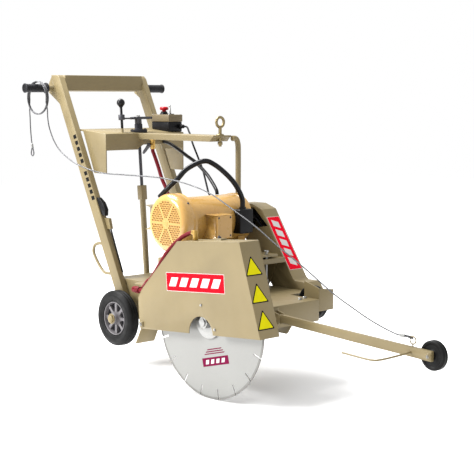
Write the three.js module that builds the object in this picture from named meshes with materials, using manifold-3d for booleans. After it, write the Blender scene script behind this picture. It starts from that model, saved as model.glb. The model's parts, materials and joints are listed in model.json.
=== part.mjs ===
// Walk-behind concrete saw: electric motor, belt-driven diamond blade on the right side,
// crank-fed wheel carriage, folding pointer arm. Millimetres, X forward, Y left, Z up.
import * as THREE from 'three';
import { mergeVertices } from 'three/addons/utils/BufferGeometryUtils.js';
import Module from 'manifold-3d';

const wasm = await Module();
wasm.setup();

// ---------------------------------------------------------------- driving dimensions
const GAP = 0.3;
const ARBOR = { x: 106, z: 254, r: 16 };
const BLADE = { y: -337, r: 254, thick: 3.4, slots: 18, slotWidth: 5, slotDepth: 30 };
const GUARD = { y0: -379, y1: -295, tilt: 4.4, wall: 3, bottom: -37, notch: 58 };
const MOTOR = { x: -188, z: 546, r: 85, y0: -236, y1: 62, coverR: 101, coverY: -276, shaftR: 11 };
const DECK = { z: 309, thick: 6, right: -222, left: -3, front: 276, rear: -590, bottom: 237 };
const STAND = { top: 417, front: 20, rear: -280, right: -236, left: 94.5 };
const BELT = { y0: 95, y1: 165, motorR: 19.6, arborR: 22.3, thick: 4, boreR: 12 };
const REAR = { x: -506, z: 173, r: 101.5, rimR: 62, y0: 216, y1: 266, axleR: 9.5, sleeveR: 17 };
const FRONT = { x: 206, z: 285, r: 57, right: -247, left: 42, width: 34, axleR: 8 };
const ARM = { y: 212, width: 51, thick: 25, topX: -952, topZ: 1059, slope: 0.4907 };
const GRIP = { x: -947, z: 1009, tubeR: 12.5, r: 16, y0: 237, y1: 337 };
const CONSOLE = { top: 839, front: -642, rear: -805, right: -186, left: 193, rise: 15, flange: 62, wall: 6 };
const BOOM = { y0: -32, y1: 55, end: -216, lip: 22, slant: 20 };
const CRANK = { x: -679, y: 0, reach: 79, tailReach: 60, screwR: 6, pinEnd: 18.5, sleeveTop: -201, sleeveBottom: -256 };
const TAIL = { x: -627, z: 154 };
const POINTER = { x: 297, y: -213, z: 274, height: 30, thick: 12, wheelX: 905, wheelZ: 246, wheelR: 44 };
const SWITCH = { x0: -762, x1: -653, y0: 128, y1: 198, seam: 879, top: 907 };
const GLAND = { y: 182, z: 861 };
const VALVE = { x: -608, y: 10, pivotZ: 795, bottom: 779 };
const ROPE = { r: 2.4, coil: { x: -930, y: -289, z: 972, rx: 67, rz: 64, thick: 7 } };
const SEG = 20;

// ---------------------------------------------------------------- paints and finishes
const finish = (color, roughness, metalness) => new THREE.MeshStandardMaterial({ color, roughness, metalness });
const tanPaint = finish(0xc8b487, 0.5, 0.1);
const goldPaint = finish(0xf0c060, 0.4, 0.3);
const steel = finish(0xb9bbbd, 0.35, 0.9);
const bladeSteel = finish(0xd8d8d4, 0.3, 0.8);
const blackRubber = finish(0x2b2b2e, 0.8, 0);
const blackPlastic = finish(0x232326, 0.5, 0);
const castIron = finish(0x55565a, 0.6, 0.6);
const greyRim = finish(0xa8a4a2, 0.45, 0.5);
const redRubber = finish(0x96283a, 0.5, 0);
const redPlastic = finish(0xc01828, 0.4, 0);
const brass = finish(0xc9a24a, 0.3, 0.9);

// ---------------------------------------------------------------- solid helpers
function solid(geometry) {
  const plain = geometry.index ? geometry.toNonIndexed() : geometry;
  plain.deleteAttribute('normal');
  plain.deleteAttribute('uv');
  const merged = mergeVertices(plain, 1e-3);
  return new wasm.Manifold(new wasm.Mesh({
    numProp: 3,
    vertProperties: new Float32Array(merged.attributes.position.array),
    triVerts: new Uint32Array(merged.index.array),
  }));
}

function join(...pieces) {
  return pieces.flat().reduce((whole, piece) => whole.add(piece));
}

function cut(body, ...tools) {
  return tools.flat().reduce((rest, tool) => rest.subtract(tool), body);
}

function box(x0, x1, y0, y1, z0, z1) {
  const geometry = new THREE.BoxGeometry(x1 - x0, y1 - y0, z1 - z0);
  geometry.translate((x0 + x1) / 2, (y0 + y1) / 2, (z0 + z1) / 2);
  return solid(geometry);
}

// A turned solid along one axis: profile is [distance along axis, radius] pairs, closed on the axis.
function turned(axis, centre, steps, segments = SEG) {
  const profile = steps[0][0] > steps[steps.length - 1][0] ? [...steps].reverse() : steps;
  const outline = profile.map(([along, r]) => new THREE.Vector2(r, along));
  const first = new THREE.Vector2(0, profile[0][0]);
  const last = new THREE.Vector2(0, profile[profile.length - 1][0]);
  const geometry = new THREE.LatheGeometry([first, ...outline, last], segments);
  if (axis === 'x') geometry.rotateZ(-Math.PI / 2);
  if (axis === 'z') geometry.rotateX(Math.PI / 2);
  geometry.translate(...centre);
  return solid(geometry);
}

// A turned ring: the profile closes on itself, in either direction, and never touches the axis.
function ring(axis, centre, profile, segments = SEG) {
  const corners = profile.map(([along, r]) => new THREE.Vector2(r, along));
  if (THREE.ShapeUtils.isClockWise(corners)) corners.reverse();
  const outline = [...corners, corners[0]];
  const geometry = new THREE.LatheGeometry(outline, segments);
  if (axis === 'x') geometry.rotateZ(-Math.PI / 2);
  if (axis === 'z') geometry.rotateX(Math.PI / 2);
  geometry.translate(...centre);
  return solid(geometry);
}

function rodX(x0, x1, y, z, r, segments = SEG) {
  return turned('x', [0, y, z], [[x0, r], [x1, r]], segments);
}

function rodY(y0, y1, x, z, r, segments = SEG) {
  return turned('y', [x, 0, z], [[y0, r], [y1, r]], segments);
}

function rodZ(z0, z1, x, y, r, segments = SEG) {
  return turned('z', [x, y, 0], [[z0, r], [z1, r]], segments);
}

// A straight round bar between any two points.
function bar(from, to, r, segments = 16) {
  const a = new THREE.Vector3(...from);
  const b = new THREE.Vector3(...to);
  const span = b.clone().sub(a);
  const geometry = new THREE.CylinderGeometry(r, r, span.length(), segments);
  const turn = new THREE.Quaternion().setFromUnitVectors(new THREE.Vector3(0, 1, 0), span.normalize());
  geometry.applyQuaternion(turn);
  geometry.translate(...a.add(b).multiplyScalar(0.5));
  return solid(geometry);
}

function outline2d(points, holes = []) {
  const shape = new THREE.Shape(points.map(([u, v]) => new THREE.Vector2(u, v)));
  shape.holes = holes.map((hole) => new THREE.Path(hole.map(([u, v]) => new THREE.Vector2(u, v))));
  return shape;
}

// Outline in X and Z, pulled along Y.
function plateY(points, y0, y1, holes = []) {
  const geometry = new THREE.ExtrudeGeometry(outline2d(points, holes), { depth: y1 - y0, bevelEnabled: false });
  geometry.rotateX(Math.PI / 2);
  geometry.translate(0, y1, 0);
  return solid(geometry);
}

// Outline in X and Y, pulled along Z.
function plateZ(points, z0, z1, holes = []) {
  const geometry = new THREE.ExtrudeGeometry(outline2d(points, holes), { depth: z1 - z0, bevelEnabled: false });
  geometry.translate(0, 0, z0);
  return solid(geometry);
}

// Outline in Y and Z, pulled along X.
function plateX(points, x0, x1, holes = []) {
  const geometry = new THREE.ExtrudeGeometry(outline2d(points, holes), { depth: x1 - x0, bevelEnabled: false });
  const along = new THREE.Matrix4().makeBasis(
    new THREE.Vector3(0, 1, 0), new THREE.Vector3(0, 0, 1), new THREE.Vector3(1, 0, 0));
  geometry.applyMatrix4(along);
  geometry.translate(x0, 0, 0);
  return solid(geometry);
}

function circle(u, v, r, sides = 24, start = 0, sweep = 2 * Math.PI) {
  const last = sweep === 2 * Math.PI ? sides : sides + 1;
  return Array.from({ length: last }, (_, i) => {
    const angle = start + (sweep * i) / sides;
    return [u + r * Math.cos(angle), v + r * Math.sin(angle)];
  });
}

// A round tube or cable along a smooth curve through the points.
function cable(points, r, steps, sides = 8) {
  const curve = new THREE.CatmullRomCurve3(points.map((p) => new THREE.Vector3(...p)), false, 'centripetal');
  const section = outline2d(circle(0, 0, r, sides));
  return solid(new THREE.ExtrudeGeometry(section, { steps, bevelEnabled: false, extrudePath: curve }));
}

const model = new THREE.Group();

function part(name, shape, material) {
  const mesh = shape.getMesh();
  const geometry = new THREE.BufferGeometry();
  geometry.setAttribute('position', new THREE.BufferAttribute(new Float32Array(mesh.vertProperties), 3));
  geometry.setIndex(new THREE.BufferAttribute(new Uint32Array(mesh.triVerts), 1));
  const node = new THREE.Mesh(geometry, material);
  node.name = name;
  model.add(node);
}

// ---------------------------------------------------------------- base frame
function baseFrame() {
  const { z, thick, right, left, front, rear, bottom } = DECK;
  const deck = plateZ([
    [rear, -186], [-430, -186], [-430, right], [front, right], [front, left], [140, left],
    [140, STAND.left], [-430, STAND.left], [-430, 186], [rear, 186],
  ], z - thick, z);
  const wall = (y) => box(-395, front, y, y + thick, bottom, z);
  const frontPlate = box(front - thick, front, right, left, bottom, z);
  const rearPlate = box(rear, rear + thick, -186, 186, z - 50, z);
  const axlePlate = (y) => plateY([
    [-560, z], [-560, 190], [-530, 145], [-482, 145], [-440, 190], [-440, z],
  ], y, y + thick);
  const sleeveHole = rodY(-220, -170, REAR.x, REAR.z, REAR.sleeveR + 1);
  const rearAxle = rodY(-REAR.y1 - 14, REAR.y1 + 14, REAR.x, REAR.z, REAR.axleR, 20);
  const axleNotch = box(190, 232, -230, 5, bottom - 1, 299);
  const arborHoles = rodY(-230, 0, ARBOR.x, ARBOR.z, ARBOR.r + 4);
  const arborNotch = box(ARBOR.x - ARBOR.r - 4, ARBOR.x + ARBOR.r + 4, -230, 0, bottom - 1, ARBOR.z);
  const frame = join(deck, wall(right), wall(left - thick), frontPlate, rearPlate,
    axlePlate(-186), axlePlate(180));
  const opened = cut(frame, sleeveHole, axleNotch, arborHoles, arborNotch);
  part('base_frame', join(opened, rearAxle), tanPaint);
  const shade = [[left + GAP, 268], [67, 268], [67, 336], [left + GAP, 345]];
  part('front_wheel_shade', plateX(shade, front - 4, front), tanPaint);
}

function motorStand() {
  const { top, front, rear, right, left } = STAND;
  const foot = DECK.z + GAP;
  const shelf = box(rear, front, right, left, top - 6, top);
  const lip = box(front - 5, front, right + 6, left, top - 18, top - 6);
  const web = (y) => plateY([[rear, foot], [rear, top - 6], [-10, top - 6], [-60, foot]], y, y + 5);
  const backPanel = box(-90, -85, right, left, foot, top - 6);
  const boltHole = rodZ(top - 20, top + 1, 8, 13, 5.5, 12);
  part('motor_stand', cut(join(shelf, lip, web(right), web(left - 5), backPanel), boltHole), tanPaint);
  const plateTop = MOTOR.z - 114;
  const motorPlate = box(-275, 18, -215, 60, plateTop - 8, plateTop - GAP);
  part('motor_plate', cut(motorPlate, rodZ(400, 460, 8, 13, 6.5)), tanPaint);
  const bolt = join(rodZ(345, 441, 8, 13, 5, 12), rodZ(334, 345, 8, 13, 9, 6), rodZ(441, 447, 8, 13, 8.5, 6));
  part('belt_tension_bolt', bolt, steel);
}

// ---------------------------------------------------------------- motor
function motor() {
  const { x, z, r, y0, y1, coverR, coverY, shaftR } = MOTOR;
  const body = turned('y', [x, 0, z], [
    [y0 + GAP, 70], [y0 + GAP, r], [y1 - 30, r], [y1 - 28, r + 4], [y1 - 12, r + 4], [y1, r - 20],
  ], 32);
  const foot = z - 114 + GAP;
  const feet = [-170, 0].map((y) => box(x - 90, x + 90, y, y + 35, foot, foot + 10));
  const webs = [-170, 0].map((y) => box(x - 60, x + 60, y, y + 35, foot, z - 60));
  const bore = rodY(y0 - 5, y1 + 5, x, z, shaftR + 1);
  const conduit = box(x + 60, x + 136, -165, -94, 495, 575);
  const capacitor = box(x - 170, x - 70, -214, -140, 509, 595);
  const lid = box(x + 135, x + 139, -163, -96, 497, 573);
  part('motor_body', cut(join(body, feet, webs, conduit, lid, capacitor), bore), goldPaint);

  const wall = 2.5;
  const shell = ring('y', [x, 0, z], [
    [coverY, 0.5], [coverY, coverR - 18], [coverY + 5, coverR - 7], [coverY + 16, coverR], [y0 + 18, coverR],
    [y0 + 18, coverR - 3], [coverY + 17, coverR - 3], [coverY + 7, coverR - 11], [coverY + wall, coverR - 20],
    [coverY + wall, 0.5],
  ], 36);
  const holes = [];
  for (let sector = 0; sector < 6; sector += 1) {
    const angle = (sector * Math.PI) / 3;
    for (const [radial, side] of [[38, 0], [58, -12], [58, 12]]) {
      const hx = x + radial * Math.sin(angle) + side * Math.cos(angle);
      const hz = z + radial * Math.cos(angle) - side * Math.sin(angle);
      holes.push(rodY(coverY - 5, coverY + 10, hx, hz, 9, 6));
    }
  }
  part('motor_fan_cover', cut(shell, holes), goldPaint);

  const boot = box(x + 60, x + 112, -32, 31, 500, 585);
  const casing = rodY(-40, 40, x, z, r + 0.5, 32);
  const neck = rodZ(584, 592, -98, 0, 12, 16);
  part('motor_lead_boot', join(cut(boot, casing), neck), blackRubber);

  const shaft = join(
    rodY(coverY + 12, BELT.y1 - 12, x, z, shaftR - GAP, 24),
    rodY(coverY + 16, coverY + 20, x, z, 60, 24));
  const blades = [];
  for (let i = 0; i < 8; i += 1) {
    const angle = (i * Math.PI) / 4;
    const fin = new THREE.BoxGeometry(40, 16, 3);
    fin.translate(50, coverY + 26, 0);
    fin.rotateY(angle);
    fin.translate(x, 0, z);
    blades.push(solid(fin));
  }
  part('motor_shaft_and_fan', join(shaft, blades), steel);
}

// ---------------------------------------------------------------- belt drive
function pulley(name, x, z, r, boreR) {
  const y = (BELT.y0 + BELT.y1) / 2;
  const rim = r - 1;
  const groove = r - 6;
  const profile = [
    [y - 20, boreR], [y - 20, rim], [y - 18, rim], [y - 12, groove], [y - 8, groove], [y - 2, rim], [y + 2, rim],
    [y + 8, groove], [y + 12, groove], [y + 18, rim], [y + 20, rim], [y + 20, boreR],
  ];
  part(name, ring('y', [x, 0, z], profile), castIron);
}

function beltLoop(offset) {
  const dx = ARBOR.x - MOTOR.x;
  const dz = ARBOR.z - MOTOR.z;
  const heading = Math.atan2(dz, dx);
  const lean = Math.asin((BELT.arborR - BELT.motorR) / Math.hypot(dx, dz));
  const first = heading + Math.PI / 2 + lean;
  const aroundMotor = circle(MOTOR.x, MOTOR.z, BELT.motorR + offset, 14, first, Math.PI - 2 * lean);
  const aroundArbor = circle(ARBOR.x, ARBOR.z, BELT.arborR + offset, 14, first + Math.PI - 2 * lean,
    Math.PI + 2 * lean);
  return [...aroundMotor, ...aroundArbor];
}

function beltDrive() {
  pulley('motor_pulley', MOTOR.x, MOTOR.z, BELT.motorR, MOTOR.shaftR);
  pulley('arbor_pulley', ARBOR.x, ARBOR.z, BELT.arborR, BELT.boreR);
  const y = (BELT.y0 + BELT.y1) / 2;
  part('drive_belts', plateY(beltLoop(BELT.thick), y - 17, y + 17, [beltLoop(0)]), blackRubber);
}

function beltGuardOutline(inset) {
  const i = inset;
  const floor = inset > 0 ? 60 : 0;
  return [
    [-98 - i, 577 - i], [-150, 594 - i], [-212 + i, 594 - i], [-240 + i, 566 - i], [-240 + i, 530],
    [50 + i, 202 + i * 1.5], [50 + i, 202 - floor], [148 - i, 262 - floor], [148 - i, 300 - i], [118 - i, 338 - i],
    [68, 338 - i], [57 - i, 345 - i],
  ];
}

function beltGuard() {
  const { y0, y1 } = BELT;
  const shell = plateY(beltGuardOutline(0), y0, y1);
  const hollow = plateY(beltGuardOutline(2.5), y0 + 2.5, y1 - 2.5);
  const motorWindow = rodY(y0 - 1, y0 + 4, MOTOR.x, MOTOR.z, 34);
  const window = plateY([[-205, 520], [-160, 505], [-70, 520], [-140, 580], [-205, 580]], y0 - 1, y0 + 4);
  const arborHole = rodY(y0 - 1, y0 + 4, ARBOR.x, ARBOR.z, ARBOR.r + 3);
  part('belt_guard', cut(shell, hollow, motorWindow, window, arborHole), tanPaint);
}

// ---------------------------------------------------------------- arbor and blade
function bearing(name, y) {
  const { x, z, r } = ARBOR;
  const housing = join(rodY(y, y + 32, x, z, 33), box(x - 55, x + 55, y, y + 32, z + 34, 303 - GAP),
    box(x - 28, x + 28, y, y + 32, z, z + 40));
  part(name, cut(housing, rodY(y - 1, y + 33, x, z, r + GAP)), castIron);
}

function bladeOutline() {
  const { r, slots, slotWidth, slotDepth } = BLADE;
  const points = [];
  const half = slotWidth / 2 / r;
  for (let i = 0; i < slots; i += 1) {
    const start = (2 * Math.PI * i) / slots;
    const end = (2 * Math.PI * (i + 1)) / slots;
    points.push(...circle(0, 0, r, 4, start + half, end - start - 2 * half));
    const inner = r - slotDepth;
    const narrow = slotWidth / 2 / inner;
    points.push([inner * Math.cos(end - narrow), inner * Math.sin(end - narrow)]);
    points.push([inner * Math.cos(end + narrow), inner * Math.sin(end + narrow)]);
  }
  return points.map(([u, v]) => [u + ARBOR.x, v + ARBOR.z]);
}

function arborAndBlade() {
  const { x, z, r } = ARBOR;
  const bladeNear = BLADE.y - BLADE.thick / 2;
  const bladeFar = BLADE.y + BLADE.thick / 2;
  part('saw_blade', plateY(bladeOutline(), bladeNear, bladeFar, [circle(x, z, 13)]), bladeSteel);
  const shaft = turned('y', [x, 0, z], [
    [-372, 12.7], [bladeFar + GAP, 12.7], [bladeFar + GAP, 57], [bladeFar + 9, 57], [bladeFar + 12, 40],
    [bladeFar + 22, 26], [bladeFar + 40, 24], [bladeFar + 40, r - GAP], [0, r - GAP], [0, BELT.boreR - GAP],
    [BELT.y1 - 8, BELT.boreR - GAP],
  ]);
  part('arbor_shaft', shaft, steel);
  const flange = ring('y', [x, 0, z], [
    [bladeNear - GAP, 13], [bladeNear - GAP, 57], [bladeNear - 7, 57], [bladeNear - 12, 34], [bladeNear - 12, 13],
  ]);
  part('outer_blade_flange', flange, steel);
  const nut = join(ring('y', [x, 0, z], [
    [bladeNear - 12 - GAP, 13], [bladeNear - 12 - GAP, 22], [bladeNear - 15, 22], [bladeNear - 15, 13]]),
  rodY(bladeNear - 29, bladeNear - 15, x, z, 21, 6));
  part('arbor_nut', cut(nut, rodY(bladeNear - 40, bladeNear - 10, x, z, 13)), steel);
}

// ---------------------------------------------------------------- blade guard
function guardOutline(inset) {
  const i = inset;
  const floor = inset > 0 ? GUARD.bottom - 20 : GUARD.bottom;
  return [
    [-314 + i, floor], [-314 + i, 69], [-288 + i * 1.1, 101], [-92 + i, 262 - i], [204 - i, 262 - i],
    [277 - i, floor],
  ];
}

function tilted(shape) {
  return shape.rotate([0, -GUARD.tilt, 0]).translate([ARBOR.x, 0, ARBOR.z]);
}

function bladeGuard() {
  const { y0, y1, wall, bottom, notch } = GUARD;
  const shell = plateY(guardOutline(0), y0, y1);
  const hollow = plateY(guardOutline(wall), y0 + wall, y1 - wall);
  const nutNotch = rodY(y0 - 1, y0 + wall + 1, 0, bottom, notch);
  const shaftSlot = join(rodY(y1 - wall - 1, y1 + 1, 0, 0, 34), box(-34, 34, y1 - wall - 1, y1 + 1, bottom - 5, 0));
  const pinHoles = [rodY(y0 - 1, y0 + wall + 1, 10, 58, 4, 12), rodY(y0 - 1, y0 + wall + 1, 70, -18, 4, 12)];
  const lug = box(20, 62, y1 - 30, y1 - 6, 262, 268);
  const clamp = box(-310, -292, y0 - 6, y0, -30, -12);
  part('blade_guard', tilted(join(cut(shell, hollow, nutNotch, shaftSlot, pinHoles), lug, clamp)), tanPaint);
  const flap = plateY([[-313, bottom - GAP], [-308, bottom - GAP], [-342, -92], [-347, -90]], y0 + 2, y1 - 2);
  part('splash_flap', tilted(flap), tanPaint);
}

// ---------------------------------------------------------------- handle and console
function armRear(z) {
  return ARM.topX + (ARM.topZ - z) * ARM.slope;
}

function handleFrame() {
  const { y, width, thick, topX, topZ } = ARM;
  const footZ = 215;
  const arm = (y0) => plateY([
    [topX, topZ], [armRear(footZ), footZ], [armRear(footZ) + width, footZ], [armRear(topZ - 12) + width, topZ - 12],
    [topX + width - 8, topZ],
  ], y0, y0 + thick);
  const beam = box(topX + 14, topX + 59, -y + thick, y - thick, topZ - 59, topZ);
  const gusset = (y0) => plateY([
    [topX + 6, topZ], [GRIP.x - 22, GRIP.z + 18], [GRIP.x - 22, GRIP.z - 18], [GRIP.x - 6, GRIP.z - 26],
    [armRear(940) + 10, 940],
  ], y0, y0 + 5);
  const gripTube = rodY(-GRIP.y1 + 3, GRIP.y1 - 3, GRIP.x, GRIP.z, GRIP.tubeR, 20);
  const frame = join(arm(-y), arm(y - thick), beam, gusset(-y), gusset(y - 5), gripTube);
  part('handle_frame', frame, tanPaint);

  const hookY = -y + thick / 2;
  const onArm = (z) => armRear(z) - GAP;
  const hook = cable([
    [onArm(434.5), hookY, 428], [-668, hookY, 430], [-699, hookY, 420], [-708, hookY, 397], [-690, hookY, 366],
    [-655, hookY, 331], [-638, hookY, 322], [onArm(329), hookY, 322],
  ], 5.5, 18, 8);
  part('cord_hook', hook, tanPaint);
  const clipX = (z, out) => armRear(z) + width + GAP + out;
  part('arm_clip', plateY([
    [clipX(540, 0), 540], [clipX(540, 22), 536], [clipX(560, 34), 560], [clipX(585, 30), 585], [clipX(602, 12), 602],
    [clipX(602, 0), 602],
  ], hookY - 8, hookY + 8), blackRubber);
}

function grip(name, side) {
  const { x, z, tubeR, r, y0, y1 } = GRIP;
  const profile = [
    [y0, tubeR + GAP], [y0, r + 5], [y0 + 6, r + 5], [y0 + 6, r], [y1 - 6, r], [y1 - 4, r + 2], [y1, r],
    [y1, tubeR + GAP],
  ];
  const placed = profile.map(([along, radius]) => [along * side, radius]);
  part(name, ring('y', [x, 0, z], placed, 24), blackRubber);
}

// The console's top is pressed to rise towards the operator, and runs level into the boom.
function consoleTop(x) {
  const { top, front, rear, rise } = CONSOLE;
  return x > front ? top : top + (rise * (front - x)) / (front - rear);
}

function console() {
  const { top, front, rear, right, left, flange, wall } = CONSOLE;
  const { y0, y1, end, lip, slant } = BOOM;
  const sheet = plateY([
    [rear, consoleTop(rear) - wall], [rear, consoleTop(rear)], [front, top], [front, top - wall],
  ], right, -right);
  const edge = plateY([[-786, consoleTop(-786) - wall], [-786, consoleTop(-786)], [front, top], [front, top - wall]],
    -right, left);
  const frontFlange = box(front - wall, front, right, left, top - flange, top);
  const notch = plateX([[y0, top - flange - 1], [y0, top - 58], [y0 + 25, top - 44], [y1 + 25, top - 44],
    [y1 + 32, top - flange - 1]], front - wall - 1, front + 1);
  const side = (y) => plateY([[-786, consoleTop(-786)], [-716, 691], [front, 691], [front, top]], y, y + 5);
  const boomTop = box(front - wall, end, y0, y1, top - wall, top);
  const boomLip = (y) => plateY([
    [front - 5, top - lip], [front - 5, top], [end, top], [end - slant, top - lip],
  ], y, y + 4);
  const endPlate = plateY([[end - slant - 6, top - lip], [end - 6, top], [end, top], [end - slant, top - lip]], y0, y1);
  const crankHole = rodZ(top - 30, top + 30, CRANK.x, CRANK.y, 13);
  const eyeHole = rodZ(top - 30, top + 5, end - 12, (y0 + y1) / 2, 6, 16);
  const frame = join(sheet, edge, cut(frontFlange, notch), side(right), side(left - 5), boomTop, boomLip(y0), boomLip(y1 - 4),
    endPlate);
  const lockPost = onLiftAxis(rodZ(1, CRANK.pinEnd - GAP, 0, -CRANK.reach, 5, 12));
  part('console', join(cut(frame, crankHole, eyeHole), lockPost), tanPaint);
}

function lifting() {
  const { top } = CONSOLE;
  const { y0, y1, end, lip } = BOOM;
  const x = end - 12;
  const y = (y0 + y1) / 2;
  const eye = new THREE.TorusGeometry(17.5, 5, 8, 20);
  eye.rotateY(Math.PI / 2);
  eye.translate(x, y, top + 47);
  const shank = rodZ(top - lip - 18, top + 3, x, y, 5.5, 16);
  const stem = rodZ(top + 2, top + 32, x, y, 6, 16);
  const collar = rodZ(top + GAP, top + 4, x, y, 12, 16);
  const nut = rodZ(top - lip - 12, top - lip - GAP, x, y, 9, 6);
  part('lifting_eye', join(solid(eye), shank, stem, collar, nut), steel);
  const tubeX = end + 5;
  const tubeY = 84;
  const tubeZ = top - 11;
  const bend = 40;
  const curve = new THREE.CurvePath();
  const start = new THREE.Vector3(tubeX, y1 + GAP, tubeZ);
  const corner = new THREE.Vector3(tubeX, tubeY, tubeZ);
  const foot = new THREE.Vector3(tubeX, tubeY, STAND.top + GAP);
  const before = corner.clone().add(new THREE.Vector3(0, -20, 0));
  const after = corner.clone().add(new THREE.Vector3(0, 0, -bend));
  curve.add(new THREE.LineCurve3(start, before));
  curve.add(new THREE.QuadraticBezierCurve3(before, corner, after));
  curve.add(new THREE.LineCurve3(after, foot));
  const section = outline2d(circle(0, 0, 10, 12));
  const geometry = new THREE.ExtrudeGeometry(section, { steps: 14, bevelEnabled: false, extrudePath: curve });
  part('bail_tube', solid(geometry), tanPaint);
}

// ---------------------------------------------------------------- depth crank and lift
// The crank, its screw and the lift tube share one axis, which leans back from the tail pin to the console.
const LIFT_LEAN = Math.atan2(TAIL.x - CRANK.x, CONSOLE.top - TAIL.z);

function onLiftAxis(shape) {
  const degrees = (-LIFT_LEAN * 180) / Math.PI;
  return shape.rotate([0, degrees, 0]).translate([CRANK.x, 0, CONSOLE.top]);
}

function crankAndLift() {
  const { x, reach, tailReach, screwR, sleeveTop, sleeveBottom } = CRANK;
  const block = join(rodZ(-8, 13, 0, 0, 32), rodZ(12, 34, 0, 0, 15));
  const sheetBelow = plateY([
    [x - 80, 780], [x - 80, consoleTop(x - 80) + GAP], [x + 80, consoleTop(x + 37) - 4 + GAP], [x + 80, 780],
  ], -60, 60);
  part('crank_bearing', cut(onLiftAxis(cut(block, rodZ(-10, 40, 0, 0, 10 + GAP))), sheetBelow), castIron);
  const hub = join(rodZ(34 + GAP, 54, 0, 0, 13), rodZ(-20, 50, 0, 0, 9.6, 20),
    rodZ(sleeveBottom - 20, -15, 0, 0, screwR, 16));
  const lever = join(box(-10, 10, -reach, tailReach, 53, 58), box(-13, 13, -30, tailReach, 52, 61));
  const handle = join(lever, rodZ(50, 70, 0, -reach, 12));
  const lockHole = rodZ(40, 75, 0, -reach, 5 + GAP);
  part('depth_crank', onLiftAxis(cut(join(hub, handle), lockHole)), steel);
  const knob = turned('z', [0, -reach, 0], Array.from({ length: 9 }, (_, i) => {
    const angle = -Math.PI / 2 + 0.35 + ((Math.PI - 0.45) * i) / 8;
    return [115 + 15.5 * Math.sin(angle), 15.5 * Math.cos(angle)];
  }), 20);
  part('crank_lock_knob', onLiftAxis(join(rodZ(CRANK.pinEnd, 104, 0, -reach, 5, 12), knob)), blackPlastic);

  const bottom = -Math.hypot(TAIL.x - CRANK.x, CONSOLE.top - TAIL.z);
  const sleeve = box(-13, 13, -13, 13, sleeveBottom, sleeveTop);
  const tube = rodZ(bottom + 16, sleeveBottom + 10, 0, 0, 11.5, 16);
  const eye = rodY(-12, 12, 0, bottom, 20);
  const bore = rodZ(sleeveBottom - 75, sleeveTop + 10, 0, 0, screwR + 1.5, 16);
  const pinHole = rodY(-14, 14, 0, bottom, 13.5);
  part('lift_tube', onLiftAxis(cut(join(sleeve, tube, eye), bore, pinHole)), tanPaint);
}

// ---------------------------------------------------------------- wheels and carriage
function carriage() {
  const armZ0 = 178;
  const armZ1 = 206;
  const arm = (y) => plateY([
    [-520, 186], [-500, 189], [-440, armZ1], [120, armZ1], [FRONT.x - 14, FRONT.z + 12], [FRONT.x + 10, FRONT.z + 12],
    [FRONT.x + 12, FRONT.z - 10], [150, armZ0], [-440, armZ0 - 2], [-500, 157], [-520, 160],
  ], y, y + 8);
  const sleeve = rodY(-193, 178, REAR.x, REAR.z, REAR.sleeveR);
  const sleeveBore = rodY(-210, 190, REAR.x, REAR.z, REAR.axleR + GAP, 20);
  const tail = (y) => plateY([
    [TAIL.x - 12, TAIL.z - 12], [-500, 158], [-500, 188], [TAIL.x - 12, TAIL.z + 12],
  ], y, y + 8);
  const pin = rodY(-24, 24, TAIL.x, TAIL.z, 7);
  const axle = rodY(FRONT.right - 22, FRONT.left + 22, FRONT.x, FRONT.z, FRONT.axleR);
  const frame = join(arm(-200), arm(-30), sleeve, tail(-24), tail(16), pin, axle);
  part('wheel_carriage', cut(frame, sleeveBore), tanPaint);
}

function rearWheel(side, name) {
  const { x, z, r, rimR, y0, y1, axleR } = REAR;
  const mirror = (profile) => profile.map(([along, radius]) => [along * side, radius]);
  const mid = (y0 + y1) / 2;
  part(`rear_tyre_${name}`, ring('y', [x, 0, z], mirror([
    [y0 + 8, rimR], [y0 + 2, rimR + 6], [y0, r - 22], [y0 + 5, r - 6], [y0 + 14, r], [y1 - 14, r], [y1 - 5, r - 6],
    [y1, r - 22], [y1 - 2, rimR + 6], [y1 - 8, rimR],
  ]), 24), blackRubber);
  part(`rear_rim_${name}`, ring('y', [x, 0, z], mirror([
    [y0 - 1, axleR + GAP], [y0 - 1, 20], [mid - 3, 24], [mid - 3, rimR - 10], [y0 + 8, rimR - GAP],
    [y1 - 8, rimR - GAP], [mid + 4, rimR - 10], [mid + 4, 24], [y1 + 4, 20], [y1 + 4, axleR + GAP],
  ]), 24), greyRim);
}

function frontWheel(name, y) {
  const { x, z, r, width, axleR } = FRONT;
  const half = width / 2;
  part(`front_wheel_${name}`, ring('y', [x, 0, z], [
    [y - half - 2, axleR + GAP], [y - half - 2, 16], [y - half + 5, 38], [y - half, r - 4], [y - half + 5, r],
    [y + half - 5, r], [y + half, r - 4], [y + half - 5, 38], [y + half + 2, 16], [y + half + 2, axleR + GAP],
  ], 24), blackRubber);
}

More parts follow.
